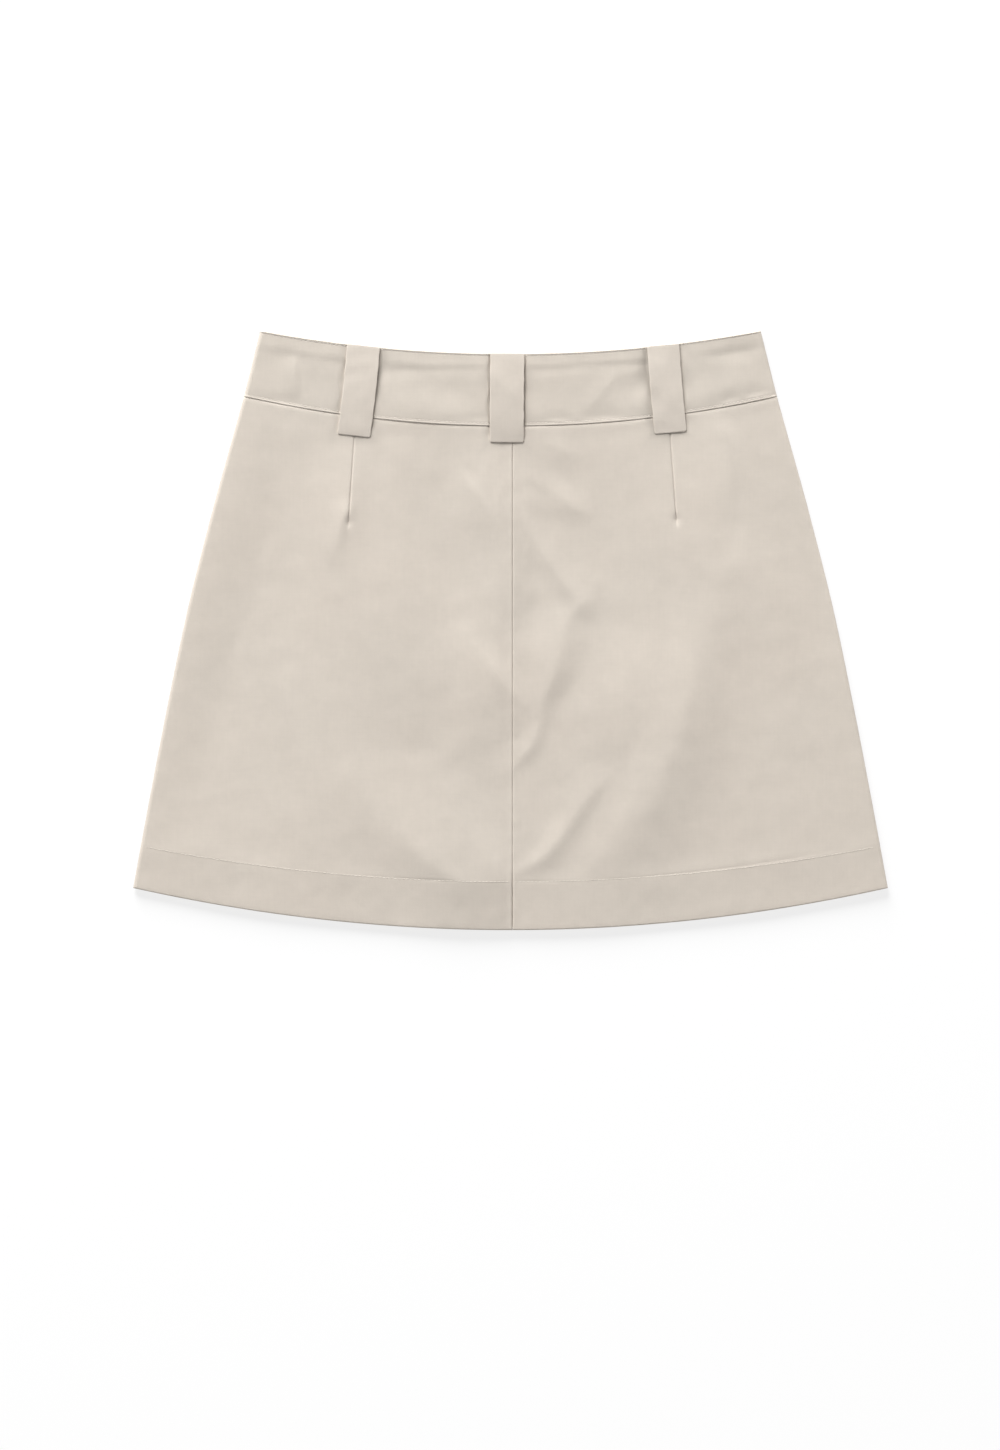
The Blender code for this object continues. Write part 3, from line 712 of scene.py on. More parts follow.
# %% The sheet builder
SIDE_SEAM_Z, SIDE_ROUND = 2.4, 2.8
SIDE_STEPS = 9
RIM_WALL = 0.04                      # the least wall that a rounded rim keeps
SEAM_LINE = 0.05                     # half the gap that a sewn seam leaves
SEAM_ROLL = 0.32                     # rounding of an edge that is turned under in a seam
EDGE_STEPS = (0.0, 0.04, 0.14, 0.30, 0.52, 0.80, 1.0)    # shares of the rounding radius


def edge_cut(distance, radius):
    """How far a face falls at that distance from a rounded edge."""
    inside = radius - np.clip(distance, 0.0, radius)
    return radius - np.sqrt(np.maximum(radius ** 2 - inside ** 2, 0.0))


def stops(start, end, step):
    """Evenly spaced places from start up to end, without end."""
    count = max(1, round((end - start) / step))
    return list(start + (end - start) * np.arange(count) / count)


def between_edges(start, start_roll, inside, end_roll, end):
    """Places from start to end: fine steps over the rounding of both edges, and those inside."""
    return np.array([start + start_roll * s for s in EDGE_STEPS] + inside
                    + [end - end_roll * s for s in EDGE_STEPS[::-1]])


def two_faces(x, y, top, wall, cut):
    """Outer and inner grid of a wall below the surface top, with its rims rounded by cut."""
    cut = np.minimum(cut, (wall - RIM_WALL) / 2)
    return np.stack([x, y, top - cut], -1), np.stack([x, y, top - wall + cut], -1)


def add_piece(name, mesh, finish):
    """A smooth object made from a mesh, in its finish and fixed to the part."""
    mesh.shade_smooth()
    mesh.materials.append(finish)
    piece = bpy.data.objects.new(name, mesh)
    bpy.context.scene.collection.objects.link(piece)
    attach(piece, "root")
    return piece


def add_sheet(name, node, outer, inner, finish, tone):
    """One closed sheet from two grids of points, (rows, columns, 3), in mm."""
    rows, columns = outer.shape[:2]
    index = np.arange(rows * columns).reshape(rows, columns)
    quads = np.stack([index[:-1, :-1], index[:-1, 1:], index[1:, 1:], index[1:, :-1]], -1)
    quads = quads.reshape(-1, 4)
    rim = np.concatenate([index[0, :], index[1:, -1], index[-1, -2::-1], index[-2:0:-1, 0]])
    after = np.roll(rim, -1)
    shift = rows * columns
    walls = np.stack([after, rim, rim + shift, after + shift], -1)
    faces = np.concatenate([quads, quads[:, ::-1] + shift, walls])
    points = np.concatenate([outer.reshape(-1, 3), inner.reshape(-1, 3)]) * MM
    mesh = bpy.data.meshes.new(name)
    mesh.from_pydata(points, [], faces.tolist())
    across = np.hypot(np.diff(outer[..., 0], axis=1), np.diff(outer[..., 2], axis=1))
    across = np.concatenate([np.zeros((rows, 1)), np.cumsum(across, axis=1)], axis=1)
    across *= np.sign(outer[0, -1, 0] - outer[0, 0, 0])
    middle = columns // 2
    grain_x = across - across[:, middle:middle + 1] + outer[:, middle:middle + 1, 0]
    grain = np.stack([grain_x, outer[..., 1], 0.0 * grain_x], -1).reshape(-1, 3) * MM
    mesh.attributes.new("grain", "FLOAT_VECTOR", "POINT").data.foreach_set(
        "vector", np.concatenate([grain, grain]).ravel())
    mesh.attributes.new("tone", "FLOAT", "POINT").data.foreach_set(
        "value", np.concatenate([tone.ravel(), tone.ravel()]))
    bm = bmesh.new()
    bm.from_mesh(mesh)
    bmesh.ops.recalc_face_normals(bm, faces=bm.faces)
    bm.to_mesh(mesh)
    bm.free()
    sheet = add_piece(name, mesh, finish)
    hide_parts(node)


def round_side(side, row, outer, inner, sag, seam_z):
    """Carry a sheet's last column round the folded side edge to the side seam."""
    turn = np.linspace(0.0, math.pi / 2, SIDE_STEPS + 1)[1:]
    reach = row_reach(row)[:, None]

    def arc(last, radius):
        x = side * (reach - SIDE_ROUND + radius * np.sin(turn))
        z = seam_z + (last[:, 2:3] - seam_z) * np.cos(turn)
        y, _ = row_place(x, row[:, None], sag)
        return np.stack([x, y, z], -1)

    outer_arc = arc(outer[:, -1], SIDE_ROUND)
    inner_arc = arc(inner[:, -1], SIDE_ROUND - CLOTH_WALL)
    return (np.concatenate([outer, outer_arc], axis=1),
            np.concatenate([inner, inner_arc], axis=1))


def hem_wall(row):
    """Wall of a panel: one layer of cloth, and more where the hem is turned up."""
    return CLOTH_WALL + (HEM_WALL - CLOTH_WALL) * ease(HEM_LINE - 1.0, HEM_LINE + 1.0, row)


# tone and spread
RIM_WEAR, SEAM_WEAR = (0.9, 1.1), (0.5, 0.7)
SIDE_PAINTED_LIGHT, SIDE_PAINTED_LIGHT_SPREAD = (1.4, -1.6), 2.0   # painted light on the right fold and painted shade on the left one
# painted shade over the turned-up hem
HEM_PAINTED_SHADE = -0.25


def edge_tone(row, x, seam_x, top, bottom):
    """Worn edges are a little lighter, the side folds get painted light and shade, and painted shade
    darkens the turned-up hem.
    """
    side = row_reach(row) - np.abs(x)
    wear = highest(ridge(RIM_WEAR, row - top), ridge(RIM_WEAR, bottom - row),
                   ridge(SEAM_WEAR, np.abs(x - seam_x) - SEAM_WEAR[1]))
    return (wear + np.where(x > 0.0, *SIDE_PAINTED_LIGHT) * hump(side, SIDE_PAINTED_LIGHT_SPREAD)
            + HEM_PAINTED_SHADE * ease(HEM_LINE - 1.0, HEM_LINE + 1.5, row) * ease(0.0, 90.0, side))


# %% [markdown]
# ## Back panels
#
# Each back panel is cut with a curved side, shaped to the body by one dart, joined to its
# twin at the centre back, and turned up at the hem. On the sheet these are: a rounded edge
# along the centre seam, a narrow crease that ends in a dimple, and a doubled wall with its
# own rolled edge at the bottom. Rows and columns crowd together where the form is fine and
# spread out where it is calm.

# %% Rows and columns of a back panel
GRID = 2.0
DART_TOPS = {-1: -105.1, 1: 107.5}
DART_LENGTHS = {-1: 70.0, 1: 69.0}
DART_COLUMNS = (-3.0, -1.5, -0.8, -0.4, -0.15, 0.15, 0.4, 0.8, 1.5, 3.0)
CALM_SPANS = (105.0, 115.0)          # about how wide the cloth is on both sides of the dart
PANEL_TOP = BAND_DROP + SEAM_LINE
HEM_CROWD = 2.4                      # rows lie close together this near to the hem line


def panel_rows(step):
    """Rows of a panel, from the waistband seam to the hem, crowded at the hem line."""
    rows = (stops(PANEL_TOP + SEAM_ROLL + 0.6, HEM_LINE - HEM_CROWD, step)
            + stops(HEM_LINE - HEM_CROWD, HEM_LINE + HEM_CROWD, 0.4)
            + stops(HEM_LINE + HEM_CROWD, SKIRT_DROP - 2.0, step))
    return between_edges(PANEL_TOP, SEAM_ROLL, rows, HEM_WALL / 2, SKIRT_DROP)


def dart_line(side, row):
    """X of the dart's column. Below the dart's point it keeps its share of the width."""
    length, point_x = DART_LENGTHS[side], DART_POINTS[side][0]
    slope = (point_x - DART_TOPS[side]) / length
    below = point_x * half_width(row) / half_width(BAND_DROP + length)
    return np.where(row < BAND_DROP + length,
                    DART_TOPS[side] + slope * (row - BAND_DROP), below)


def panel_columns(side, row, step):
    """X of every column: seam edge, calm cloth, dart, calm cloth, side."""
    seam = centre_back_x + side * SEAM_LINE
    edge = [np.full_like(row, seam + side * SEAM_ROLL * s) for s in EDGE_STEPS]
    edge += [edge[-1] + side * 0.5]
    dart = dart_line(side, row)
    reach = side * (row_reach(row) - SIDE_ROUND)
    start, end = edge[-1] + side * 0.8, dart + side * DART_COLUMNS[0]
    calm = [start + (end - start) * s for s in stops(0.0, 1.0, step / CALM_SPANS[0])]
    crease = [dart + side * c for c in DART_COLUMNS]
    start = crease[-1] + side * step
    rest = [start + (reach - start) * s for s in stops(0.0, 1.0, step / CALM_SPANS[1])] + [reach]
    return np.stack(edge + calm + crease + rest, axis=1)


# %% Two back panels
DART_DEPTH = (0.35, 0.75)            # at the waist and at the point
DART_SPREAD = 0.42
DART_STEP = (0.12, 9.0)              # height and spread of the intake underneath, on one side
DART_END = (-2.0, 2.5)               # from its point, where the crease starts to fade and ends
SEAM_RIDGES = {-1: (0.14, 0.12), 1: (0.05, 0.0)}     # height, and what the hem adds to it
SEAM_RIDGE_PLACE, SEAM_RIDGE_SPREAD = 0.8, 0.9
SEAM_DITCH, SEAM_DITCH_SPREAD = (0.10, 0.35), 0.5    # depth, and what the hem adds to it
SIDES = ((-1, "left"), (1, "right"))


def dart_form(side, x, row):
    """The dart is a stitched line: a narrow crease that deepens to its point."""
    from_dart, down = x - dart_line(side, row), row - BAND_DROP
    along = np.clip(down / DART_LENGTHS[side], 0.0, 1.0)
    alive = 1.0 - ease(*(DART_LENGTHS[side] + end for end in DART_END), down)
    depth = DART_DEPTH[0] + (DART_DEPTH[1] - DART_DEPTH[0]) * along
    intake = (1.0 - along) * ridge(DART_STEP, from_dart) * (from_dart < 0.0)
    return alive * (intake - depth * np.exp(-(np.abs(from_dart) / DART_SPREAD) ** 1.5))


def build_back(name, node, side, front):
    """A back panel, from the centre-back seam out to the side seam."""
    row = panel_rows(GRID)
    x = panel_columns(side, row, GRID)
    rows = row[:, None] + 0.0 * x
    y, drop = row_place(x, rows, BACK_SAG)
    from_seam = np.abs(x - centre_back_x) - SEAM_LINE
    in_hem = ease(HEM_LINE - 16.0, HEM_LINE + 2.0, rows)
    top = (body_height(x, y, drop) + dart_form(side, x, rows)
           + (SEAM_RIDGES[side][0] + SEAM_RIDGES[side][1] * in_hem)
           * hump(from_seam - SEAM_RIDGE_PLACE, SEAM_RIDGE_SPREAD)
           - (SEAM_DITCH[0] + SEAM_DITCH[1] * in_hem) * hump(from_seam, SEAM_DITCH_SPREAD))
    cut = highest(edge_cut(from_seam, SEAM_ROLL), edge_cut(rows - PANEL_TOP, SEAM_ROLL),
                  edge_cut(SKIRT_DROP - rows, HEM_WALL / 2))
    outer, inner = two_faces(x, y, top, hem_wall(rows), cut)
    outer, inner = round_side(side, row, outer, inner, BACK_SAG, SIDE_SEAM_Z + SEAM_LINE)
    tone = edge_tone(row[:, None], outer[..., 0], centre_back_x, PANEL_TOP, SKIRT_DROP)
    # painted shade beside the belt loops darkens the tone
    tone = tone + paint_loop_shade(outer[..., 0], outer[..., 1])
    add_sheet(name, node, outer, inner, body_drill, tone)


for side, hand in SIDES:
    build_back("back_panel_" + hand, "back_" + hand, side, "front_" + hand)

# %% [markdown]
# ## Back waistband
#
# The band is a curved strip, folded along its top edge, edge-stitched along the top and
# just above the seam. Between the two rows it is slightly slack: a ditch below the top edge
# and a soft belly lower down. Its columns are close together, because each stitch pulls the
# cloth in a little.

# %% Back waistband
BAND_GRID = 1.0
BAND_SPAN = 175.0                    # about half the waistband
TOP_ROWS = [1.2, 1.45, 1.7, 1.95, 2.3, 2.9, 3.7]     # crowded at the upper stitches
LOOP_COLUMNS = np.linspace(-2.1, 2.1, 15) + 0.01     # finer columns beside a belt loop
BAND_BOTTOM = BAND_DROP - SEAM_LINE
BAND_WEAR = 1.2                      # the worn line lies this far above the seam
NO_SEAM = 1e4                        # a place far off: the waistband has no upright seam
BAND_LIP = 0.5                       # rounding of the turned edge at the seam
LOOP_MIDDLE = 0.4                    # share of a loop's length at the middle of the waistband


def band_rows():
    """Rows of a waistband, from the folded top edge to the seam."""
    rows = (TOP_ROWS + stops(4.6, SEAM_STITCH_DROP - 1.6, 1.6)
            + stops(SEAM_STITCH_DROP - 1.6, BAND_BOTTOM - BAND_LIP - 0.1, 0.3))
    return between_edges(0.0, BAND_WALL / 2, rows, BAND_LIP, BAND_BOTTOM)


def build_back_band():
    """The back waistband, from side seam to side seam."""
    row = band_rows()
    reach = row_reach(row) - SIDE_ROUND
    shares = stops(-1.0, 1.0, BAND_GRID / BAND_SPAN) + [1.0]
    for loop in LOOPS:
        for edge in (-loop.width / 2, loop.width / 2):
            middle = loop.top_x + LOOP_MIDDLE * (loop.bottom_x - loop.top_x) + edge
            shares += list((middle + LOOP_COLUMNS) / reach.mean())
    shares = np.array(sorted(shares))
    x = reach[:, None] * shares[None, :]
    rows = row[:, None] + 0.0 * x
    y, drop = row_place(x, rows, BACK_SAG)
    cut = np.maximum(edge_cut(rows, BAND_WALL / 2), edge_cut(BAND_BOTTOM - rows, BAND_LIP))
    outer, inner = two_faces(x, y, band_height(x, y, drop), BAND_WALL + 0.0 * x, cut)
    seam_z = SIDE_SEAM_Z + SEAM_LINE
    outer, inner = round_side(1, row, outer, inner, BACK_SAG, seam_z)
    outer, inner = round_side(-1, row, outer[:, ::-1], inner[:, ::-1], BACK_SAG, seam_z)
    tone = edge_tone(row[:, None], outer[..., 0], NO_SEAM, 0.0, BAND_DROP - BAND_WEAR)
    # painted shade beside the belt loops darkens the tone
    tone = tone + paint_loop_shade(outer[..., 0], outer[..., 1])
    add_sheet("back_waistband", "waistband_back", outer, inner, band_drill_painted_shade,
              tone)


build_back_band()

# %% [markdown]
# ## Front panels and front waistband
#
# The front lies face down. Its outer face is flat on the table and only its edges are ever
# seen from above, at the hem, the waist and the side folds, so it is a calm sheet that
# shares the cut. Its waist dips lower than the back's, as on a real skirt.

# %% The front
FRONT_GRID, FRONT_SPAN = 3.6, 230.0
FRONT_CHANNEL = (0.3, 0.7)           # depth and spread


def front_height(x, row):
    """Height of the front's lower face: flat, but for the hem's waves and its stitch channels."""
    lines = (TOP_STITCH_DROP, SEAM_STITCH_DROP, HEM_LINE)
    return hem_wave(x, row) + sum(ridge(FRONT_CHANNEL, row - line) for line in lines)


def build_front(name, node, side, row, wall, top, bottom, roll, finish):
    """A piece of the front, from the centre-front seam out to the side seam."""
    seam = side * SEAM_LINE
    reach = side * (row_reach(row) - SIDE_ROUND)
    start = seam + side * (SEAM_ROLL + 0.6)
    x = np.stack([np.full_like(row, seam + side * SEAM_ROLL * s) for s in EDGE_STEPS]
                 + [start + (reach - start) * s for s in stops(0.0, 1.0, FRONT_GRID / FRONT_SPAN)]
                 + [reach], axis=1)
    rows = row[:, None] + 0.0 * x
    y, _ = row_place(x, rows, FRONT_SAG)
    wall = wall + 0.0 * x
    cut = highest(edge_cut(np.abs(x) - SEAM_LINE, SEAM_ROLL), edge_cut(rows - top, roll[0]),
                  edge_cut(bottom - rows, roll[1]))
    inner, outer = two_faces(x, y, front_height(x, rows) + wall, wall, cut)
    outer, inner = round_side(side, row, outer, inner, FRONT_SAG, SIDE_SEAM_Z - SEAM_LINE)
    tone = edge_tone(row[:, None], outer[..., 0], 0.0, top, bottom)
    add_sheet(name, node, outer, inner, finish, tone)


for side, hand in SIDES:
    build_front("front_panel_" + hand, "front_" + hand, side, panel_rows(FRONT_GRID),
                hem_wall(panel_rows(FRONT_GRID))[:, None], PANEL_TOP, SKIRT_DROP,
                (SEAM_ROLL, HEM_WALL / 2), body_drill)
    build_front("front_waistband_" + hand, "waistband_front_" + hand, side, band_rows(),
                BAND_WALL, 0.0, BAND_BOTTOM, (BAND_WALL / 2, BAND_LIP), band_drill_painted_shade)

# %% [markdown]
# ## Belt loops
#
# A belt loop is a strip sewn into a flat tube and pressed, so it has rounded sides and no
# raw edge. Its upper end is caught in the top edge of the waistband and its lower end is
# folded under and tacked to the panel. Between them it stands off the band, a little twisted,
# which throws narrow dark wedges beside it, and painted shade in the cloth's colour beside
# each loop darkens them further.

# %% Three belt loops
LOOP_WALL, LOOP_CROWN, LOOP_FOLD, LOOP_SEAT = 1.4, 0.20, 9.0, 0.12
LOOP_RISE = ((0.0, 1.5), (0.06, 1.64), (0.25, 1.8), (0.55, 1.6), (0.85, 0.9), (0.95, 0.4),
             (1.0, 0.1))             # share of the length, height over the waistband
LOOP_CORNER, LOOP_EDGE, LOOP_END = 1.6, 0.28, 0.4
LOOP_FLOOR = 0.3                     # the least wall of a loop
LOOP_WOBBLE = 0.10
LOOP_TWIST_TOP, LOOP_TWIST_RUN = 0.1, 0.45   # shares of the length over which it is twisted
LOOP_GRID = 0.02                     # share of the length between rows
LOOP_SIDE_WEAR, LOOP_END_WEAR = (0.5, 0.8), (0.5, 1.2)   # tone and spread
FIRST_SAG, DROP_ROUNDS = 15.0, 12
LOOP_HALF = np.array([0.0, 0.2, 0.4, 0.6, 0.8, 0.88, 0.93, 0.965, 0.985, 0.997, 1.0])
LOOP_ACROSS = np.concatenate([-LOOP_HALF[:0:-1], LOOP_HALF])


def drop_of(x, y):
    """Drop of a point on the back, found by repeated correction."""
    drop = waist_side_y - y - FIRST_SAG
    for _ in range(DROP_ROUNDS):
        drop = drop + row_place(x, drop, BACK_SAG)[0] - y
    return drop


def loop_line(loop):
    """Top of a belt loop's middle line, its direction and its length."""
    top_y = float(row_place(np.array(loop.top_x), np.array(0.0), BACK_SAG)[0])
    run = np.array([loop.bottom_x - loop.top_x, loop.bottom_y - top_y])
    length = float(np.hypot(*run))
    return top_y, run / length, length


def loop_top(loop, across, down, x, y):
    """Upper face of a belt loop. Across runs from -1 to 1 and down from 0 to 1."""
    twist = np.sin(math.pi * np.clip((down - LOOP_TWIST_TOP) / LOOP_TWIST_RUN, 0.0, 1.0))
    return (BAND_TOP + closure_lift(x, y) + loop.rise * read_smooth(LOOP_RISE, down)
            - LOOP_CROWN * across ** 2 + loop.twist * across * twist
            + 0.06 * soft_waves(x, y, 14.0, int(loop.width * 10)))


def build_loop(loop):
    """A belt loop, from the waist's top edge down to its folded end."""
    top_y, run, length = loop_line(loop)
    fold = 1.0 - LOOP_FOLD / length
    rows = (stops(1.6 / length, fold - 0.6 * LOOP_GRID, 1.1 * LOOP_GRID)
            + [fold - 0.3 * LOOP_GRID, fold] + stops(fold + LOOP_GRID, 1.0 - 2.4 / length, LOOP_GRID))
    down = between_edges(0.0, 0.9 / length, rows, 1.8 / length, 1.0)[:, None]
    from_end = (1.0 - down) * length
    wobble = LOOP_WOBBLE * np.sin(down * length / 1.9 + loop.top_x) * np.sign(LOOP_ACROSS)
    reach = loop.width / 2 - 0.8 * edge_cut(from_end, LOOP_CORNER)
    sideways = LOOP_ACROSS * (reach + wobble) + loop.bow * np.sin(math.pi * down)
    x = loop.top_x + run[0] * down * length - run[1] * sideways
    y = top_y + run[1] * down * length + run[0] * sideways
    top = loop_top(loop, LOOP_ACROSS, down, x, y)
    drop = drop_of(x, y)
    under = np.where(drop < BAND_DROP, band_height(x, y, drop), body_height(x, y, drop))
    seat = np.maximum(np.where(down < fold, top - LOOP_WALL, under), under + LOOP_SEAT)
    wall = np.maximum(top - seat, LOOP_FLOOR)
    beside = (1.0 - np.abs(LOOP_ACROSS)) * reach
    cut = highest(edge_cut(beside, LOOP_EDGE), edge_cut(from_end, LOOP_END),
                  edge_cut(down * length, 0.6))
    outer, inner = two_faces(x, y, seat + wall, wall, cut)
    tone = highest(ridge(LOOP_SIDE_WEAR, beside), ridge(LOOP_END_WEAR, from_end)) + 0.0 * x
    add_sheet(loop.node + "_strap", loop.node, outer, inner, loop_drill, tone)


for loop in LOOPS:
    build_loop(loop)

# %% [markdown]
# ## Sewing
#
# The machine leaves a row of short slanting threads, each sunk in the dimple that it pulls.
# One stitch is modelled as a hand would: a short six-sided rod whose two ends are drawn out
# and thinned where the thread dives into the cloth. Hundreds of copies are then laid along
# the rows, joined row by row, because hundreds of separate objects would be slow to handle.

# %% Copies of a modelled piece
def take_model(piece):
    """Points and faces of a modelled piece, which is then removed, as only its copies stay."""
    points = np.array([v.co[:] for v in piece.data.vertices])
    faces = [list(face.vertices) for face in piece.data.polygons]
    bpy.data.objects.remove(piece)
    return points, faces


def join_copies(name, model, places, finish):
    """Join copies of a model into one piece. A place is its x, y and z in mm and its turn."""
    model_points, model_faces = model
    points, faces = [], []
    for count, (*spot, turn) in enumerate(places):
        c, s = math.cos(turn), math.sin(turn)
        turned = model_points @ np.array([[c, s, 0.0], [-s, c, 0.0], [0.0, 0.0, 1.0]])
        points.append(turned + np.array(spot) * MM)
        faces += [[i + count * len(model_points) for i in face] for face in model_faces]
    mesh = bpy.data.meshes.new(name)
    mesh.from_pydata(np.concatenate(points), [], faces)
    add_piece(name, mesh, finish)
    print(name, len(points), "copies of", len(model_faces), "faces")


# %% One stitch
STITCH_LENGTH, STITCH_RADIUS = 1.5, 0.20
bpy.ops.object.select_all(action="DESELECT")
bpy.ops.mesh.primitive_cylinder_add(vertices=6, radius=STITCH_RADIUS * MM,
                                    depth=STITCH_LENGTH * MM, rotation=(0.0, math.pi / 2, 0.0))
stitch = bpy.context.object
bpy.ops.object.transform_apply(location=False, rotation=True, scale=False)
bpy.ops.object.mode_set(mode="EDIT")
bpy.ops.mesh.select_all(action="DESELECT")
bm = bmesh.from_edit_mesh(stitch.data)
bm.select_mode = {"FACE"}
for face in bm.faces:
    face.select_set(abs(face.normal.x) > 0.9)
bmesh.update_edit_mesh(stitch.data)
bpy.ops.mesh.extrude_region_shrink_fatten(
    TRANSFORM_OT_shrink_fatten={"value": 0.35 * MM})
bpy.ops.transform.resize(value=(1.0, 0.4, 0.4))
bpy.ops.object.mode_set(mode="OBJECT")
stitch_model = take_model(stitch)
print("one stitch in mm:", (np.ptp(stitch_model[0], axis=0) / MM).round(2))

# %% Thread
sewing_thread, shader, wire = new_material("sewing_thread", {
    "Roughness": 0.6, "Specular IOR Level": 0.3})
fray = noise(wire.node("ShaderNodeTexCoord", "Object"), 1200.0)
shade = mix(fray, (0.640, 0.590, 0.520, 1.0), (0.720, 0.672, 0.602, 1.0))
shade.into(shader.inputs["Base Color"])

# %% Rows of stitches
rng = np.random.default_rng(21)
PITCH_SPREAD, STITCH_SLANT, SLANT_SPREAD = 0.12, 0.10, 0.05
STITCH_AHEAD = 0.6                   # the row's direction is read this far ahead
LINE_POINTS = 220
THREAD_SUNK, TOP_SUNK = 0.04, 0.14
SIDE_MARGIN, LOOP_MARGIN, SEAM_MARGIN = 0.5, 0.4, 1.0
LOOP_LENGTH = 60.0                   # about how long a belt loop is


def add_stitches(name, lines):
    """Join copies of the stitch along lines of points. Each line is (points, 3) in mm."""
    places = []
    for line in lines:
        run = np.concatenate([[0.0], np.cumsum(np.linalg.norm(np.diff(line, axis=0), axis=1))])
        at = np.arange(STITCH_PITCH / 2, run[-1] - STITCH_PITCH / 2, STITCH_PITCH)
        at = at + rng.uniform(-PITCH_SPREAD, PITCH_SPREAD, len(at))
        middle = np.stack([np.interp(at, run, column) for column in line.T], -1)
        ahead = np.stack([np.interp(at + STITCH_AHEAD, run, column) for column in line.T], -1)
        slant = STITCH_SLANT + rng.uniform(-SLANT_SPREAD, SLANT_SPREAD, len(at))
        turn = np.arctan2(*(ahead - middle)[:, 1::-1].T) + slant
        places += list(np.column_stack([middle, turn]))
    join_copies(name, stitch_model, places, sewing_thread)


def stitch_reach(row):
    """Half length of a row of stitches, which ends where the side fold starts."""
    return float(row_reach(np.array(row))) - SIDE_ROUND - SIDE_MARGIN


def back_line(row, x_from, x_to, height, sunk):
    """Points of a row on the back. Breaks are made by calling it for each stretch."""
    x = np.linspace(x_from, x_to, LINE_POINTS)
    y, drop = row_place(x, row + 0.0 * x, BACK_SAG)
    return np.stack([x, y, height(x, y, drop) - sunk], -1)


def front_line(row, side):
    """Points of a row on the front, from the centre-front seam to one side."""
    x = side * np.linspace(SEAM_MARGIN + 0.2, stitch_reach(row), LINE_POINTS)
    y, _ = row_place(x, row + 0.0 * x, FRONT_SAG)
    return np.stack([x, y, front_height(x, row + 0.0 * x) + THREAD_SUNK], -1)


def between_loops(row):
    """Stretches of the waistband from side to side that the belt loops leave free."""
    edges = [-stitch_reach(row)]
    for loop in LOOPS:
        middle = loop.top_x + row / LOOP_LENGTH * (loop.bottom_x - loop.top_x)
        aside = loop.width / 2 + LOOP_MARGIN
        edges += [middle - aside, middle + aside]
    edges.append(stitch_reach(row))
    return list(zip(edges[::2], edges[1::2]))


band_lines = [back_line(row, start, end, band_height, sunk)
              for row, sunk in ((TOP_STITCH_DROP, TOP_SUNK), (SEAM_STITCH_DROP, THREAD_SUNK))
              for start, end in between_loops(row)]
add_stitches("back_waistband_stitches", band_lines)
hem_ends = {"left": (-stitch_reach(HEM_LINE), centre_back_x - SEAM_MARGIN),
            "right": (centre_back_x + SEAM_MARGIN, stitch_reach(HEM_LINE))}
for hand, (start, end) in hem_ends.items():
    add_stitches("back_hem_stitches_" + hand,
                 [back_line(HEM_LINE, start, end, body_height, THREAD_SUNK)])
for side, hand in SIDES:
    front_lines = [front_line(row, side) for row in (TOP_STITCH_DROP, SEAM_STITCH_DROP, HEM_LINE)]
    add_stitches("front_stitches_" + hand, front_lines)

# %% [markdown]
# ## The zip
#
# The skirt closes at the centre front with a fine coil zip that is sewn behind the seam, so
# nothing of it shows outside. Two woven tapes carry a coil of plastic wire along their inner
# edges. The tapes lie side by side as one thin sheet that steps down off the waistband, with
# a cord beside the middle. One turn of the coil is a ring that is flattened and set aslant
# by hand, and its copies are joined into one piece. The slider keeps the solid model's shape
# and only needs its metal: dull brass, brushed lengthways and tarnished in patches.

# %% Zip tapes
TAPE_WALL, TAPE_EDGE, TAPE_GRID = 0.5, 0.2, 2.0
TAPE_CORD, TAPE_CORD_X = (0.22, 0.7), 2.3    # height and spread, and its distance from the middle
TAPE_UNEVENNESS = ((0.04, 30.0, 31),)
TAPE_STEP = 3.0                      # length of the step down off the waistband
TAPE_STITCH_SHARE, TAPE_STITCH_END = 0.7, 2.0
MIDDLE_COLUMNS = 4.0                 # the columns are finer this near to the middle
RIB, RIB_ALONG = 0.0005, 0.0007      # metres from rib to rib
zip_low, zip_high = (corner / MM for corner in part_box("zip_tape"))

zip_weave, shader, wire = new_material("zip_weave", {"Specular IOR Level": 0.3})
grain = wire.node("ShaderNodeAttribute", "Vector", {"attribute_name": "grain"})
rib_x, rib_y = split_xy(grain)
ribs = (rib_x * (2.0 * math.pi / RIB)).sine() * (rib_y * (2.0 * math.pi / RIB_ALONG)).sine()
fibre = noise(grain, 1500.0)
mix(fibre, (0.56, 0.50, 0.43, 1.0), (0.63, 0.57, 0.49, 1.0)).into(shader.inputs["Base Color"])
(fibre * 0.2 + 0.65).into(shader.inputs["Roughness"])
bump(ribs * 0.5 + 0.5, 0.5, 0.00006).into(shader.inputs["Normal"])


def tape_level(y):
    """Underside of the tapes: on the waistband's inside first, then on the panels' inside."""
    seam_y = float(row_place(np.array(0.0), np.array(BAND_DROP), FRONT_SAG)[0])
    return zip_low.z + (BAND_WALL - CLOTH_WALL) * ease(seam_y - TAPE_STEP, seam_y, y)


def tape_top(x, y):
    """Upper face of the tapes, with a cord along each inner edge."""
    return (tape_level(y) + TAPE_WALL + ridge(TAPE_CORD, np.abs(x) - TAPE_CORD_X)
            + unevenness(x, y, TAPE_UNEVENNESS))


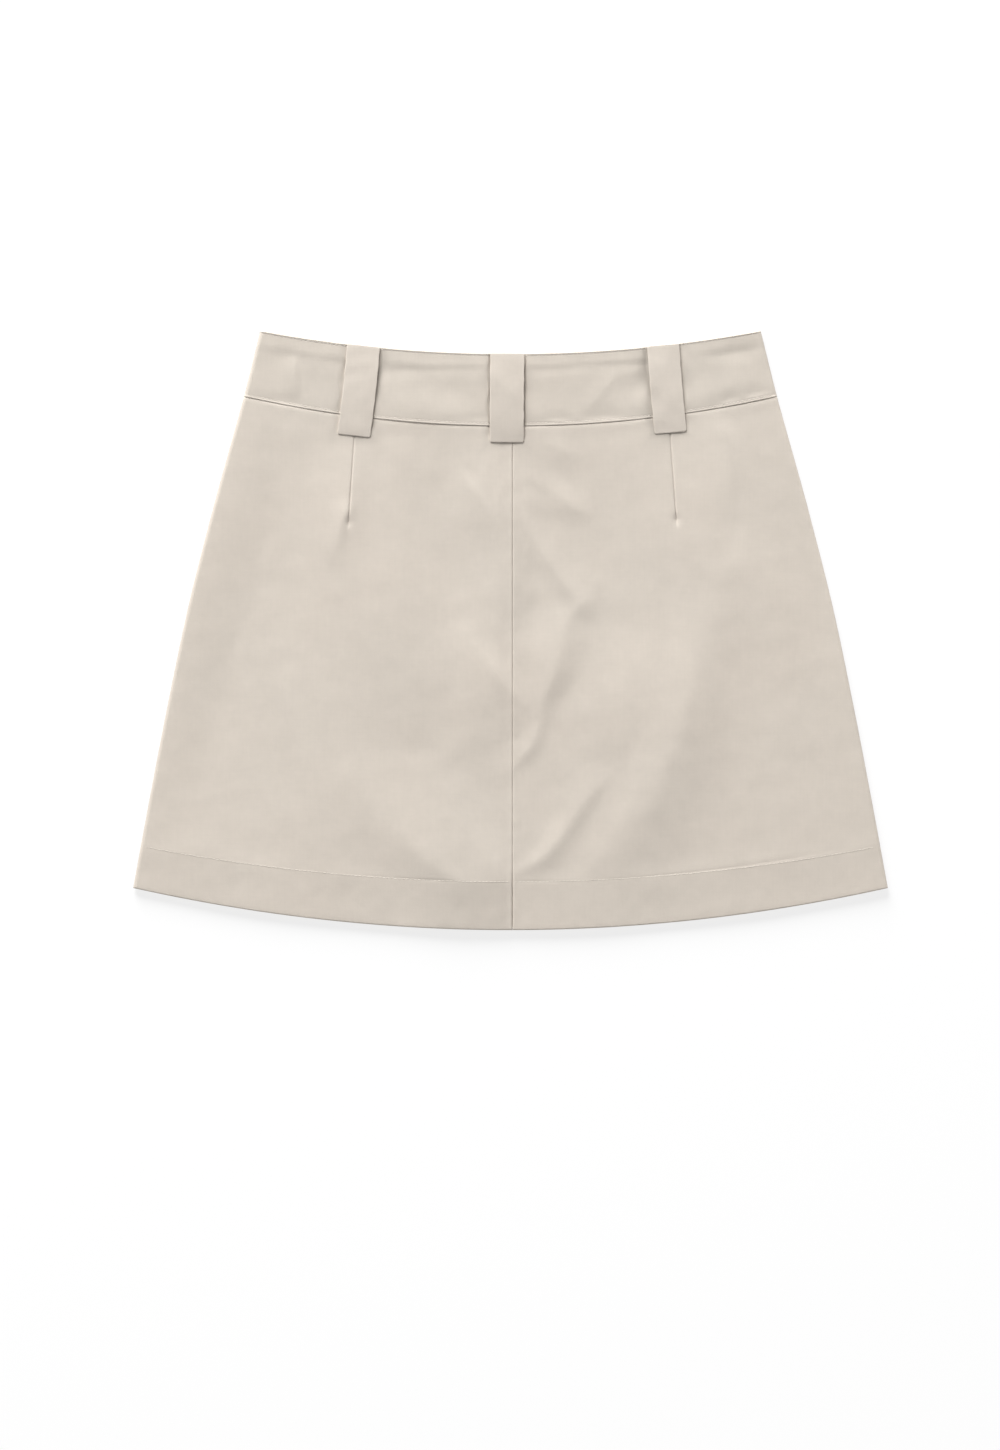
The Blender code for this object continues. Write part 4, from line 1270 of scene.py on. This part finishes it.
half = [TAPE_EDGE * s for s in EDGE_STEPS]
half += [s + TAPE_EDGE + 0.4 for s in stops(0.0, zip_high.x - MIDDLE_COLUMNS - 0.6, 1.0)]
half = np.array(half + stops(zip_high.x - MIDDLE_COLUMNS, zip_high.x, 0.4) + [zip_high.x])
columns = np.concatenate([half - zip_high.x, (zip_high.x - half)[-2::-1]])
down = between_edges(zip_high.y, -TAPE_EDGE, stops(zip_high.y - 0.6, zip_low.y + 0.6, -TAPE_GRID),
                     -TAPE_EDGE, zip_low.y)
x, y = np.meshgrid(columns, down)
rounding = highest(*(edge_cut(distance, TAPE_EDGE)
                     for distance in (zip_high.x - np.abs(x), zip_high.y - y, y - zip_low.y)))
top = tape_top(x, y)
outer, inner = two_faces(x, y, top, top - tape_level(y), rounding)
add_sheet("zip_tapes", "zip_tape", outer, inner, zip_weave, 0.0 * x)
for side, hand in SIDES:
    run = np.linspace(zip_high.y - TAPE_STITCH_END, zip_low.y + TAPE_STITCH_END, 60)
    place = np.full_like(run, side * TAPE_STITCH_SHARE * zip_high.x)
    add_stitches("zip_tape_stitches_" + hand,
                 [np.stack([place, run, tape_top(place, run) - THREAD_SUNK], -1)])

# %% One turn of the coil, and its copies
COIL_REACH, COIL_WIRE, COIL_HEIGHT, COIL_PITCH = 1.5, 0.26, 0.36, 1.1
COIL_SLANT = math.radians(12.0)
COIL_LIFT = 0.8 * COIL_HEIGHT
bpy.ops.object.select_all(action="DESELECT")
bpy.ops.mesh.primitive_torus_add(major_segments=10, minor_segments=5, major_radius=COIL_REACH * MM,
                                 minor_radius=COIL_WIRE * MM, rotation=(math.pi / 2, 0.0, 0.0))
coil_turn = bpy.context.object
bpy.ops.object.transform_apply(location=False, rotation=True, scale=False)
bpy.ops.object.mode_set(mode="EDIT")
bpy.ops.mesh.select_all(action="SELECT")
bpy.ops.transform.resize(value=(1.0, 1.0, COIL_HEIGHT / (COIL_REACH + COIL_WIRE)),
                         center_override=(0.0, 0.0, 0.0))
bpy.ops.transform.rotate(value=COIL_SLANT, orient_axis="Z", center_override=(0.0, 0.0, 0.0))
bpy.ops.object.mode_set(mode="OBJECT")
coil_model = take_model(coil_turn)

coil_plastic, shader, wire = new_material("coil_plastic", {})
rub = noise(wire.node("ShaderNodeTexCoord", "Object"), 700.0)
mix(rub, (0.55, 0.48, 0.40, 1.0), (0.64, 0.57, 0.49, 1.0)).into(shader.inputs["Base Color"])
(rub * 0.2 + 0.3).into(shader.inputs["Roughness"])

turns = [(0.0, y, float(tape_top(0.0, y)) + COIL_LIFT, 0.0)
         for y in np.arange(zip_high.y - 2.0, zip_low.y + 3.0, -COIL_PITCH)]
join_copies("zip_coil", coil_model, turns, coil_plastic)

# %% The slider's brass
dull_brass, shader, wire = new_material("dull_brass", {"Metallic": 1.0})
place = wire.node("ShaderNodeTexCoord", "Object")
brushed = noise(stretch(place, (1.0, 0.06, 1.0)), 5000.0, 3.0)
tarnish = noise(place, 450.0, 3.0)
mix(tarnish, (0.64, 0.55, 0.41, 1.0), (0.46, 0.42, 0.35, 1.0)).into(shader.inputs["Base Color"])
(brushed * 0.25 + tarnish * 0.15 + 0.15).into(shader.inputs["Roughness"])
bump(brushed, 0.3, 0.00004).into(shader.inputs["Normal"])
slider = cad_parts["zip_slider"]
slider.data.materials.clear()
slider.data.materials.append(dull_brass)
